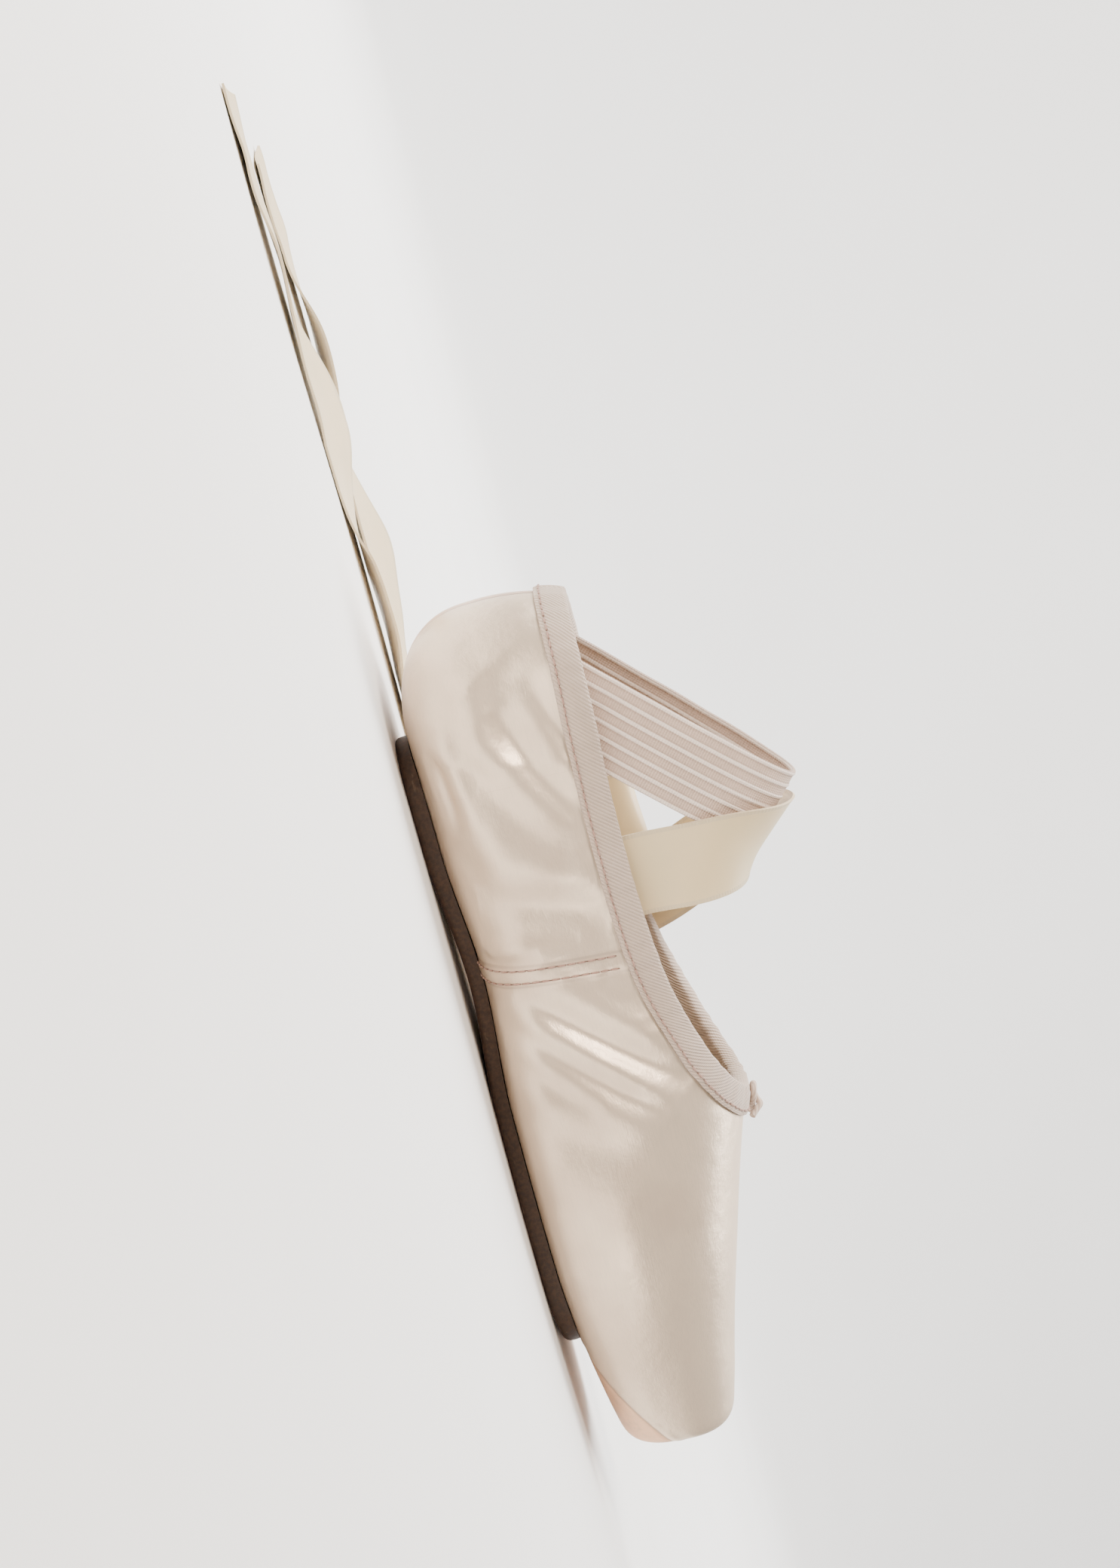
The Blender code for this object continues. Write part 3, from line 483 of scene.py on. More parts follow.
def section(x):
    """Half width, widest height, crown and bottom heights and the two powers of the section at x."""
    share = np.clip(np.asarray(x) / LENGTH, 0.0, 1.0)
    heel = 1.0 - ease((share - 0.20) / 0.35)
    toe = ease((share - 0.80) / 0.20)
    half, widest, crown, above, below = (np.interp(share, GRID, values) for values in SECTION_READ)
    half = half * BALL_WIDTH
    half = half + heel * 0.5 * (HEEL_WIDTH - 2.0 * SECTIONS[1][1] * BALL_WIDTH)
    half = half + toe * 0.5 * (PLATFORM_WIDTH - 2.0 * SECTIONS[-1][1] * BALL_WIDTH)
    bottom = sole_rise(x) + OUTSOLE_THICKNESS + CLEARANCE
    crown = crown * INSTEP_HEIGHT
    crown = crown + toe * (PLATFORM_BOTTOM + PLATFORM_HEIGHT - SECTIONS[-1][3] * INSTEP_HEIGHT)
    return half, widest * INSTEP_HEIGHT, crown, bottom, above, below


def end_terms(x, z, widest):
    """What the heel cap and the tilted toe platform add to the last's function."""
    heel = np.maximum(0.0, (HEEL_ROUNDING - x) / HEEL_ROUNDING)
    ahead = x - math.tan(PLATFORM_TILT) * (z - widest)
    toe = np.maximum(0.0, (ahead - (LENGTH - PLATFORM_EDGE)) / PLATFORM_EDGE)
    return heel**CAP_POWER + toe**7.0


def last(x, y, z):
    """Below 1 inside the last, 1 on its surface, above 1 outside."""
    half, widest, crown, bottom, above, below = section(x)
    up = np.abs(z - widest) / np.where(z > widest, crown - widest, widest - bottom)
    power = np.where(z > widest, above, below)
    gauge = ((np.abs(y) / half) ** power + up**power) ** (1.0 / power)
    return gauge**CAP_POWER + end_terms(x, z, widest)


def outward(points):
    """Unit normals of the last at points."""
    step = 0.00005
    x, y, z = points[..., 0], points[..., 1], points[..., 2]
    slope = np.stack(
        (
            last(x + step, y, z) - last(x - step, y, z),
            last(x, y + step, z) - last(x, y - step, z),
            last(x, y, z + step) - last(x, y, z - step),
        ),
        axis=-1,
    )
    return unit(slope)


def wall(x):
    """Thickness of the shell: thin in the quarters, stiff and thick in the box."""
    return QUARTER_WALL + (BOX_WALL - QUARTER_WALL) * ease((x / LENGTH - 0.50) / 0.22)


def farthest(inside, low, high):
    """The largest value between low and high for which inside(value) still holds."""
    for _ in range(36):
        middle = 0.5 * (low + high)
        kept = inside(middle)
        low = np.where(kept, middle, low)
        high = np.where(kept, high, middle)
    return 0.5 * (low + high)


def outsole_half_width(x):
    """Half width of the outsole at x, with its two rounded ends."""
    half = np.interp((x - OUTSOLE_START) / OUTSOLE_LENGTH, GRID, OUTSOLE_READ) * OUTSOLE_WIDTH
    heel = np.clip((x - OUTSOLE_START) / (0.26 * OUTSOLE_WIDTH), 0.0, 1.0)
    toe = np.clip((OUTSOLE_END - x) / (0.30 * OUTSOLE_WIDTH), 0.0, 1.0)
    round_heel = np.sqrt(np.maximum(0.0, 1.0 - (1.0 - heel) ** 2.2))
    round_toe = np.maximum(0.0, 1.0 - (1.0 - toe) ** 2.3) ** (1.0 / 2.3)
    return half * round_heel * round_toe


def ribs(count):
    """Foot and direction, in plan, of each rib round the shoe, first rib at the heel."""
    turn = np.linspace(0.0, math.pi, 4001)
    x = 0.5 * LENGTH * (1.0 - np.cos(turn))
    widest = section(x)[1]
    half = farthest(lambda y: last(x, y, widest) < 1.0, np.zeros_like(x), np.full_like(x, BALL_WIDTH))
    start = farthest(
        lambda v: last(v, 0.0 * v, section(v)[1]) < 1.0, np.array([0.5 * LENGTH]), np.array([-0.01])
    )
    end = farthest(
        lambda v: last(v, 0.0 * v, section(v)[1]) < 1.0, np.array([0.5 * LENGTH]), np.array([LENGTH + 0.01])
    )
    keep = (x > start[0]) & (x < end[0]) & (half > 0.0005)
    path = np.column_stack((x[keep], half[keep]))
    path = np.vstack(((start[0], 0.0), path, (end[0], 0.0)))
    steps = np.diff(path, axis=0)
    lengths = np.hypot(steps[:, 0], steps[:, 1])
    corner = 1.0 + 1.1 * np.exp(-(((path[1:, 0] - LENGTH) / (0.08 * LENGTH)) ** 2))
    travelled = np.concatenate(((0.0,), np.cumsum(lengths * corner)))
    wanted = np.linspace(0.0, travelled[-1], count // 2 + 1)
    outline = np.column_stack(
        (np.interp(wanted, travelled, path[:, 0]), np.interp(wanted, travelled, path[:, 1]))
    )
    outline = np.vstack((outline, outline[-2:0:-1] * (1.0, -1.0)))
    feet = np.clip(outline[:, 0], HEEL_CENTRE, TOE_CENTRE)
    away = outline - np.column_stack((feet, np.zeros(len(feet))))
    reach = np.hypot(away[:, 0], away[:, 1])
    return feet, away / reach[:, None], reach


class Shell:
    """The last's surface as ribs: each runs under the shoe, round its side and up to the collar."""

    def __init__(self, count):
        self.feet, self.ways, self.reach = ribs(count)
        self.count = count
        turn = np.radians(np.linspace(-172.0, 172.0, FINE_STEPS))[None, :]
        centre_out = (0.45 * self.reach)[:, None]
        centre_up = section(self.feet + self.ways[:, 0] * centre_out[:, 0])[1][:, None]

        def place(far):
            return self.at(centre_out + far * np.cos(turn), centre_up + far * np.sin(turn))

        def inside(far):
            points = place(far)
            return last(points[..., 0], points[..., 1], points[..., 2]) < 1.0

        shape = (count, FINE_STEPS)
        self.fine = place(farthest(inside, np.zeros(shape), np.full(shape, LENGTH)))
        steps = np.linalg.norm(np.diff(self.fine, axis=1), axis=2)
        self.along = np.concatenate((np.zeros((count, 1)), np.cumsum(steps, axis=1)), axis=1)
        self.opening = self.outsole_reach() - OUTSOLE_MARGIN
        self.lower = self.first_place(self.distance_out(self.fine) - self.opening[:, None])
        self.upper = self.first_place(self.above_collar(self.fine))

    def at(self, out, up):
        """Points at a distance out along each rib and a height up."""
        x = self.feet[:, None] + self.ways[:, :1] * out
        y = self.ways[:, 1:] * out
        return np.stack((x, y, up + 0.0 * x), axis=-1)

    def distance_out(self, points):
        """Distance of points from their rib's foot, in plan."""
        x = points[..., 0] - self.feet[:, None]
        return x * self.ways[:, :1] + points[..., 1] * self.ways[:, 1:]

    def above_collar(self, points):
        """Height above the collar line, below zero on the kept part of the last."""
        over = points[..., 2] - collar_height(points[..., 0])
        lower = np.arange(points.shape[1])[None, :] < FINE_STEPS // 3
        return np.where(lower, -1.0, over)

    def outsole_reach(self):
        """Distance from each rib's foot to the outsole's outline."""

        def inside(far):
            x = self.feet + self.ways[:, 0] * far
            return np.abs(self.ways[:, 1] * far) < outsole_half_width(x)

        return farthest(inside, np.zeros(self.count), np.full(self.count, LENGTH))

    def first_place(self, values):
        """Length along each rib where values first turn from below zero to above."""
        over = values > 0.0
        first = np.argmax(over[:, 1:] & ~over[:, :-1], axis=1)
        rows = np.arange(self.count)
        low, high = values[rows, first], values[rows, first + 1]
        share = -low / (high - low)
        return self.along[rows, first] * (1.0 - share) + self.along[rows, first + 1] * share

    def read(self, lengths):
        """Points on the last at lengths along each rib, one row of lengths for each rib."""
        points = np.empty(lengths.shape + (3,))
        for rib in range(self.count):
            for axis in range(3):
                points[rib, :, axis] = np.interp(lengths[rib], self.along[rib], self.fine[rib, :, axis])
        return points

    def even(self, start, end, steps):
        """Lengths from start to end along each rib, closer where the surface turns."""
        mesh = np.empty((self.count, steps))
        normals = outward(self.fine)
        turns = np.arccos(np.clip((normals[:, 1:] * normals[:, :-1]).sum(axis=2), -1.0, 1.0))
        for rib in range(self.count):
            middle = 0.5 * (self.along[rib, 1:] + self.along[rib, :-1])
            inside = (middle > start[rib]) & (middle < end[rib])
            lengths = np.diff(self.along[rib])
            weight = lengths / lengths[inside].sum() + 0.5 * turns[rib] / turns[rib][inside].sum()
            travelled = np.concatenate(((0.0,), np.cumsum(weight)))
            first = np.interp(start[rib], self.along[rib], travelled)
            final = np.interp(end[rib], self.along[rib], travelled)
            mesh[rib] = np.interp(np.linspace(first, final, steps), travelled, self.along[rib])
        return mesh


def shell():
    """The ribs, made once."""
    if "shell" not in cache:
        cache["shell"] = Shell(RIBS)
    return cache["shell"]


def collar_height(x):
    """Height of the collar line at x."""
    return np.interp(x / THROAT, COLLAR_GRID, COLLAR_READ) * INSTEP_HEIGHT


def side_point(x, z, side):
    """The point of the last at x and height z, on the side of the sign given."""
    half, widest, crown, bottom, above, below = section(x)
    up = np.abs(z - widest) / np.where(z > widest, crown - widest, widest - bottom)
    power = np.where(z > widest, above, below)
    gauge = np.maximum(1.0 - end_terms(x, z, widest), 0.0) ** (1.0 / CAP_POWER)
    left = gauge**power - up**power
    return np.stack((x, side * half * np.maximum(left, 0.0001) ** (1.0 / power), z), axis=-1)


def under_surface(x, y):
    """Points on the last's underside above plan places."""
    half, widest, _, bottom, _, below = section(x)
    gauge = np.maximum(1.0 - end_terms(x, bottom, widest), 0.0) ** (1.0 / CAP_POWER)
    left = gauge**below - np.abs(y / half) ** below
    up = widest - (widest - bottom) * np.maximum(left, 0.0) ** (1.0 / below)
    return np.stack((x, y, up), axis=-1)


# Relief of the satin


def nearest_on(points, line):
    """Distance from points to a polyline, and how far along it the nearest place is, from 0 to 1."""
    best = np.full(len(points), 1.0)
    place = np.zeros(len(points))
    count = len(line) - 1
    for i in range(count):
        way = line[i + 1] - line[i]
        share = np.clip(((points - line[i]) @ way) / (way @ way), 0.0, 1.0)
        away = np.linalg.norm(points - line[i] - share[:, None] * way, axis=1)
        closer = away < best
        best = np.where(closer, away, best)
        place = np.where(closer, (i + share) / count, place)
    return best, place


def creases(points, depth_scale):
    """Height of the creases at points: each is a trough with two low shoulders that fades at its ends.

    Across it the height is minus depth times a bell of the distance from its line, plus a third
    of that on both sides, 2.1 widths out. Between the creases two crossed sines make low swells.
    """
    flat = points.reshape(-1, 3)
    total = np.zeros(len(flat))
    for side, table in ((-1.0, NEAR_CREASES), (1.0, FAR_CREASES)):
        for x0, z0, x1, z1, x2, z2, width, depth in table:
            t = np.linspace(0.0, 1.0, 23)
            x = ((1 - t) ** 2 * x0 + 2 * t * (1 - t) * x1 + t * t * x2) * LENGTH
            z = ((1 - t) ** 2 * z0 + 2 * t * (1 - t) * z1 + t * t * z2) * INSTEP_HEIGHT
            line = side_point(x, z, side)
            low, high = line.min(axis=0) - 5.0 * width, line.max(axis=0) + 5.0 * width
            near = ((flat > low) & (flat < high)).all(axis=1)
            away, place = nearest_on(flat[near], line)
            swing = away / width
            fade = np.clip(np.sin(math.pi * np.clip(place * 1.04 - 0.02, 0.0, 1.0)), 0.0, 1.0) ** 0.6
            total[near] += depth * fade * (0.34 * bell(swing - 2.1, 1.1) - bell(swing, 1.0))
    x, y, z = flat[:, 0], flat[:, 1], flat[:, 2]
    swell = np.sin(x / 0.0083 + 1.7 * np.sin(z / 0.013) + y / 0.021)
    swell = swell + 0.8 * np.sin(z / 0.0064 + 2.1 * np.sin(x / 0.017 + 1.0) + y / 0.019)
    quarter = 1.0 - 0.65 * ease((x / LENGTH - 0.50) / 0.16)
    total = total + SWELL_RISE * quarter * swell
    fade = ease((z - 0.0045) / 0.006) * (1.0 - ease((x - (LENGTH - 0.016)) / 0.010))
    return (depth_scale * total * fade).reshape(points.shape[:-1])


def seam_place(z):
    """Distance of the side seam from the heel at a height: it leans forward as it rises."""
    return SIDE_SEAM_PLACE + SIDE_SEAM_LEAN * np.clip(z / ELASTIC_FOOT_HEIGHT, 0.0, 1.2)


def side_seam(points):
    """Signed distance along the shoe from the side seam's line."""
    return points[..., 0] - seam_place(points[..., 2])


def under_toe(points):
    """How far points lie below the under-toe panel's seam, which rises from the outsole to the platform."""
    along = np.clip((points[..., 0] - PANEL_START) / (LENGTH - PANEL_START), 0.0, 1.3)
    line = OUTSOLE_THICKNESS + (PANEL_TOP - OUTSOLE_THICKNESS) * along**1.25
    line = line - 0.02 * np.clip((PANEL_START - points[..., 0]) / 0.01, 0.0, 1.0)
    return line - points[..., 2]


def back_seam(points):
    """Signed distance from the back seam, far away wherever there is none."""
    x, y = points[..., 0], points[..., 1]
    return np.where(x < HEEL_CENTRE, y, 0.1)


def relief(points, sizes):
    """Height of the outer face over the last.

    The creases; the felled side seam, a raised band with a soft edge and a low groove beside it; the
    back seam and the panel's seam, each a rounded groove; and the puckers just inside the panel.
    """
    height = creases(points, sizes.crease_depth)
    across = np.abs(side_seam(points)) - 0.5 * sizes.seam_width
    height = height + sizes.seam_rise * (1.0 - ease((across + SEAM_EDGE) / SEAM_SOFTNESS))
    height = height - SEAM_GROOVE_DEPTH * bell(across - SEAM_GROOVE_PLACE, SEAM_GROOVE_WIDTH)
    height = height - BACK_SEAM_DEPTH * bell(back_seam(points), BACK_SEAM_WIDTH)
    inside = under_toe(points)
    pucker = 0.5 + 0.5 * np.sin(points[..., 0] / 0.00085 + 2.0 * np.sin(points[..., 0] / 0.0021))
    height = height - PANEL_SEAM_DEPTH * bell(inside, PANEL_SEAM_WIDTH)
    return height + PUCKER_RISE * pucker * bell(inside + PUCKER_PLACE, PUCKER_WIDTH)


def gathers(run, sizes):
    """Height of the collar's gathers at a run along it: two sines of unlike, uneven length."""
    turn = 2.0 * math.pi * run / sizes.gather_pitch
    waves = np.sin(turn + 1.3 * np.sin(0.37 * turn)) + 0.6 * np.sin(1.73 * turn + 0.8)
    return 0.6 * sizes.gather_depth * waves


# Meshes


def grid_quads(rows, columns, close_rows=False, close_columns=False):
    """Corner numbers of a grid's quads, with their row and column for the texture map."""
    i = np.arange(rows if close_rows else rows - 1)[:, None]
    j = np.arange(columns if close_columns else columns - 1)[None, :]
    after, side = (i + 1) % rows, (j + 1) % columns
    quads = np.stack(
        np.broadcast_arrays(
            i * columns + j, after * columns + j, after * columns + side, i * columns + side
        ),
        axis=-1,
    )
    places = np.stack(np.broadcast_arrays(i, j, i + 1, j, i + 1, j + 1, i, j + 1), axis=-1)
    return quads.reshape(-1, 4), places.reshape(-1, 4, 2)


def end_caps(rows, columns):
    """Quads that fill the first and the last loop of a strip."""
    j = np.arange(columns // 2 - 1)
    start = np.stack((j, j + 1, columns - 2 - j, columns - 1 - j), axis=-1)
    return np.concatenate((start, start[:, ::-1] + (rows - 1) * columns))


def piece(name, points, quads, materials, uv=None, slots=None, fields=None, weld=0.0):
    """A closed mesh in the frame from points in shoe lengths and quads, turned outward, with its maps."""
    points = np.asarray(points, dtype=float).reshape(-1, 3) - (0.5 * LENGTH, 0.0, 0.0)
    a, b, c, d = (points[quads[:, k]] for k in range(4))
    volume = (a * (np.cross(b, c) + np.cross(c, d))).sum()
    if volume < 0.0:
        quads = quads[:, ::-1]
        uv = None if uv is None else uv[:, ::-1]
    mesh = bpy.data.meshes.new(name)
    mesh.from_pydata(points.tolist(), [], quads.tolist())
    if uv is not None:
        layer = mesh.uv_layers.new(name="Cloth")
        layer.data.foreach_set("uv", np.ascontiguousarray(uv, dtype=np.float32).ravel())
    for field, values in (fields or {}).items():
        attribute = mesh.attributes.new(field, "FLOAT", "POINT")
        attribute.data.foreach_set("value", np.ascontiguousarray(values, dtype=np.float32).ravel())
    for material in materials:
        mesh.materials.append(material)
    if slots is not None:
        mesh.polygons.foreach_set("material_index", np.ascontiguousarray(slots, dtype=np.int32))
    if weld > 0.0:
        work = bmesh.new()
        work.from_mesh(mesh)
        bmesh.ops.remove_doubles(work, verts=work.verts, dist=weld)
        bmesh.ops.dissolve_degenerate(work, edges=work.edges, dist=weld)
        work.to_mesh(mesh)
        work.free()
    mesh.update()
    mesh.shade_smooth()
    mesh.set_sharp_from_angle(angle=math.radians(60.0))
    made = bpy.data.objects.new(name, mesh)
    bpy.context.scene.collection.objects.link(made)
    return made


def tube(path, up, radius, sides):
    """Loops of a tube round a path: at each point a circle across the path, starting at up."""
    ahead = unit(np.gradient(path, axis=0))
    first = unit(up - ahead * (up * ahead).sum(axis=1, keepdims=True))
    second = np.cross(ahead, first)
    spin = (np.arange(sides) * 2.0 * math.pi / sides)[None, :, None]
    ring = first[:, None] * np.cos(spin) + second[:, None] * np.sin(spin)
    return path[:, None] + np.reshape(radius, (-1, 1, 1)) * ring


def tube_quads(rows, sides):
    """Quads of a tube with both ends filled."""
    return np.concatenate((grid_quads(rows, sides, False, True)[0], end_caps(rows, sides)))


def strip(over, under, run, across):
    """A strip's two faces as closed loops, its quads with both ends filled, and its map of run and width."""
    loops = np.concatenate((over, under[:, ::-1]), axis=1)
    rows, columns = loops.shape[:2]
    quads, places = grid_quads(rows, columns, False, True)
    caps = end_caps(rows, columns)
    widths = np.concatenate((across, across[::-1], across[:1]))
    uv = np.stack((run[places[..., 0]], widths[places[..., 1]]), axis=-1)
    return loops, np.concatenate((quads, caps)), np.concatenate((uv, np.zeros((len(caps), 4, 2))))


def stitch_row(path, up, pitch, radius):
    """Points and quads of one row of stitches: a thread that rises over the cloth and dips at each hole.

    Along the row the thread's height is its radius times 1.3 times a rounded sine, less 0.85.
    """
    lengths = lengths_along(path)
    count = max(1, int(round(lengths[-1] / pitch)))
    places = np.linspace(0.0, lengths[-1], STITCH_STEPS * count + 1)
    lift = unit(read_along(lengths, up, places))
    rise = np.abs(np.sin(math.pi * np.linspace(0.0, count, STITCH_STEPS * count + 1)))
    middle = read_along(lengths, path, places) + lift * (radius * (1.3 * rise**0.5 - 0.85))[:, None]
    loops = tube(middle, lift, radius * (0.72 + 0.28 * rise), STITCH_SIDES)
    return loops.reshape(-1, 3), tube_quads(len(loops), STITCH_SIDES), np.repeat(1.0 - rise, STITCH_SIDES)


def joined(parts):
    """Several rows' points, quads and dips as one."""
    points, quads, dips, first = [], [], [], 0
    for part_points, part_quads, part_dips in parts:
        points.append(part_points)
        quads.append(part_quads + first)
        dips.append(part_dips)
        first += len(part_points)
    return np.concatenate(points), np.concatenate(quads), np.concatenate(dips)


def route(points, spacing):
    """A smooth curve through a tie's own points, with the way that its width points and its normal."""
    points = np.array(points)
    lengths = lengths_along(points[:, :3])
    places = np.linspace(0.0, lengths[-1], int(round(lengths[-1] / spacing)) + 1)
    table = np.column_stack((lengths, points))
    read = np.column_stack([spline(table, column, places) for column in range(1, 7)])
    path, side = read[:, :3], read[:, 3:]
    ahead = unit(np.gradient(path, axis=0))
    side = unit(side - ahead * (side * ahead).sum(axis=1, keepdims=True))
    return path, side, np.cross(ahead, side)


# Materials

# What each kind of node is used for here unless a call says otherwise: its settings and its output
USUAL_NODES = {
    "MapRange": ({"interpolation_type": "SMOOTHSTEP"}, 0),
    "Mix": ({"data_type": "RGBA"}, 2),
    "Attribute": ({"attribute_type": "GEOMETRY"}, "Fac"),
    "TexCoord": ({}, "Object"),
}


def add_node(tree, kind, inputs=(), **settings):
    """Adds one node with its settings and its inputs' values or links, and gives its usual output."""
    made = tree.nodes.new("ShaderNode" + kind)
    usual, output = USUAL_NODES.get(kind, ({}, 0))
    for name, value in {**usual, **settings}.items():
        setattr(made, name, value)
    for name, value in inputs.items() if isinstance(inputs, dict) else enumerate(inputs):
        if isinstance(value, bpy.types.NodeSocket):
            tree.links.new(value, made.inputs[name])
        else:
            made.inputs[name].default_value = value
    return made.outputs[output]


def layer(add, under, over, where, low, high, start=0.0, end=1.0):
    """One colour over another: its share goes smoothly from start to end as where goes from low to high."""
    return add("Mix", {0: add("MapRange", (where, low, high, start, end)), 6: under, 7: over})


def cloth_map(add):
    """The piece's own map, in metres: along it and across it."""
    return add("SeparateXYZ", (add("UVMap", uv_map="Cloth"),)).node.outputs[:2]


def wave(add, value, pitch):
    """A sine from -1 to 1 with the given pitch in metres."""
    turn = add("Math", (value, 2.0 * math.pi / pitch), operation="MULTIPLY")
    return add("Math", (turn,), operation="SINE")


def away(add, value, middle):
    """How far a value is from a middle one, on either side."""
    return add("Math", (add("Math", (value, middle), operation="SUBTRACT"),), operation="ABSOLUTE")


def per_metre(size):
    """How many cells of a pattern go into a metre, from the size of one in millimetres."""
    return 1000.0 / size


def material(name, **constants):
    """A new material with constant sockets set, its shader, and add_node for its own tree."""
    made = bpy.data.materials.new(name)
    made.use_nodes = True
    shader = made.node_tree.nodes["Principled BSDF"]
    for socket, value in constants.items():
        shader.inputs[socket.replace("_", " ")].default_value = value
    return made, shader, partial(add_node, made.node_tree)


def connect(made, shader, colour, roughness, normal):
    """Links what varies over the surface to the shader."""
    for output, socket in ((colour, "Base Color"), (roughness, "Roughness"), (normal, "Normal")):
        made.node_tree.links.new(output, shader.inputs[socket])


def satin_material(colours):
    """Satin, woven with long floats: a soft wide gloss, cloudy shade and fine slubs along the shoe.

    The under-toe panel is pinker and duller, the seams are thin darker lines.
    """
    made, shader, add = material("pale_pink_satin", Metallic=0.5, Specular_IOR_Level=0.6, Anisotropic=0.45)
    at = add("TexCoord")
    x, _, z = add("SeparateXYZ", (at,)).node.outputs
    cloud = add("TexNoise", {"Vector": at, "Scale": per_metre(27.78), "Detail": 3.0, "Roughness": 0.5})
    # Satin's own threads are about 0.1 mm wide, too fine to show: these slubs are drawn 0.4 mm wide
    slub_size = (per_metre(7.143), per_metre(0.3846), per_metre(0.3846))
    slub_at = add("Mapping", {"Vector": at, "Scale": slub_size})
    slub = add("TexNoise", {"Vector": slub_at, "Scale": 1.0, "Detail": 3.0, "Roughness": 0.6})
    colour = layer(add, colours.satin, colours.satin_shade, cloud, 0.4, 0.72, 0.0, 0.55)
    colour = layer(add, colour, linear("#B9A898"), slub, 0.35, 0.75, 0.0, 0.16)
    # The pinker under-toe panel and the thin line round it
    edge = add("Attribute", attribute_name="under_toe")
    panel = add("MapRange", (edge, -0.0002, 0.0002))
    mottle = add("TexNoise", {"Vector": at, "Scale": per_metre(10.53), "Detail": 4.0, "Roughness": 0.6})
    pink = layer(add, colours.under_toe, linear("#CBA58A"), mottle, 0.35, 0.7, 0.0, 0.5)
    colour = add("Mix", {0: panel, 6: colour, 7: pink})
    line = add("Math", (edge,), operation="ABSOLUTE")
    colour = layer(add, colour, linear("#8E7464"), line, 0.0001, 0.0006, 0.55, 0.0)
    # The back seam: painted shading, a pinker tint that fades on one side of it, then its line
    back = add("Attribute", attribute_name="back_seam")
    beyond = add("MapRange", (back, 0.0, 0.0006))
    fading = add("MapRange", (back, 0.004, 0.016, 0.45, 0.0))
    painted_pink_shading = add("Math", (beyond, fading), operation="MULTIPLY")
    colour = add("Mix", {0: painted_pink_shading, 6: colour, 7: linear("#CFA998")})
    line = add("Math", (back,), operation="ABSOLUTE")
    colour = layer(add, colour, colours.seam_line, line, 0.00022, 0.0006, 0.85, 0.0)
    # Both edges of the felled side seam
    seam = add("Math", (add("Attribute", attribute_name="side_seam"),), operation="ABSOLUTE")
    fold = away(add, seam, SIDE_SEAM_EDGE)
    colour = layer(add, colour, linear("#9C8474"), fold, 0.0001, 0.0006, 0.35, 0.0)
    # Painted floor shadow, mottled with grey marks of wear, low on the front of the toe, and a duller foot
    # all round
    lower = add("MapRange", (z, 0.01, 0.0245, 1.0, 0.0))
    front = add("MapRange", (x, 0.085, 0.112))
    speckle = add("TexNoise", {"Vector": at, "Scale": per_metre(3.846), "Detail": 5.0, "Roughness": 0.65})
    speckle = add("MapRange", (speckle, 0.45, 0.75, 0.0, 0.5))
    floor_shadow_and_wear = add("Math", (lower, front), operation="MULTIPLY")
    floor_shadow_and_wear = add("Math", (floor_shadow_and_wear, speckle), operation="MULTIPLY")
    colour = add("Mix", {0: floor_shadow_and_wear, 6: colour, 7: linear("#A08D7C")})
    foot = add("MapRange", (z, 0.0045, 0.0105, 0.3, 0.0))
    colour = add("Mix", {0: foot, 6: colour, 7: linear("#A8937F")})
    rough = add("MapRange", (cloud, 0.3, 0.7, 0.32, 0.4))
    rough = add("Math", (panel, 0.16, rough), operation="MULTIPLY_ADD")
    crinkle = add("TexNoise", {"Vector": at, "Scale": per_metre(6.667), "Detail": 4.0, "Roughness": 0.55})
    normal = add("Bump", {"Height": slub, "Distance": 0.00006, "Strength": 0.6})
    normal = add("Bump", {"Height": crinkle, "Distance": 0.0005, "Strength": 0.5, "Normal": normal})
    connect(made, shader, colour, rough, normal)
    return made


def cotton_material(name, code, dirt):
    """Cotton drill: matt, a fine plain weave and faint marks of wear."""
    made, shader, add = material(name, Sheen_Weight=0.15, Specular_IOR_Level=0.25)
    at = add("TexCoord")
    # Drill's threads are about 0.3 mm wide: they are drawn 2 mm long and 0.45 mm wide to show
    long, short = per_metre(2.0), per_metre(0.4545)
    warp_at = add("Mapping", {"Vector": at, "Scale": (long, short, short)})
    weft_at = add("Mapping", {"Vector": at, "Scale": (short, long, long)})
    warp = add("TexNoise", {"Vector": warp_at, "Scale": 1.0, "Detail": 1.0, "Roughness": 0.5})
    weft = add("TexNoise", {"Vector": weft_at, "Scale": 1.0, "Detail": 1.0, "Roughness": 0.5})
    weave = add("Math", (warp, weft), operation="MULTIPLY")
    worn = add("TexNoise", {"Vector": at, "Scale": per_metre(23.81), "Detail": 4.0, "Roughness": 0.6})
    colour = layer(add, code, linear("#A8977F"), worn, 0.42, 0.78, 0.0, dirt)
    colour = layer(add, colour, linear("#A8987F"), weave, 0.15, 0.4, 0.1, 0.0)
    rough = add("MapRange", (worn, 0.3, 0.7, 0.82, 0.9))
    normal = add("Bump", {"Height": weave, "Distance": 0.00012, "Strength": 0.5})
    connect(made, shader, colour, rough, normal)
    return made


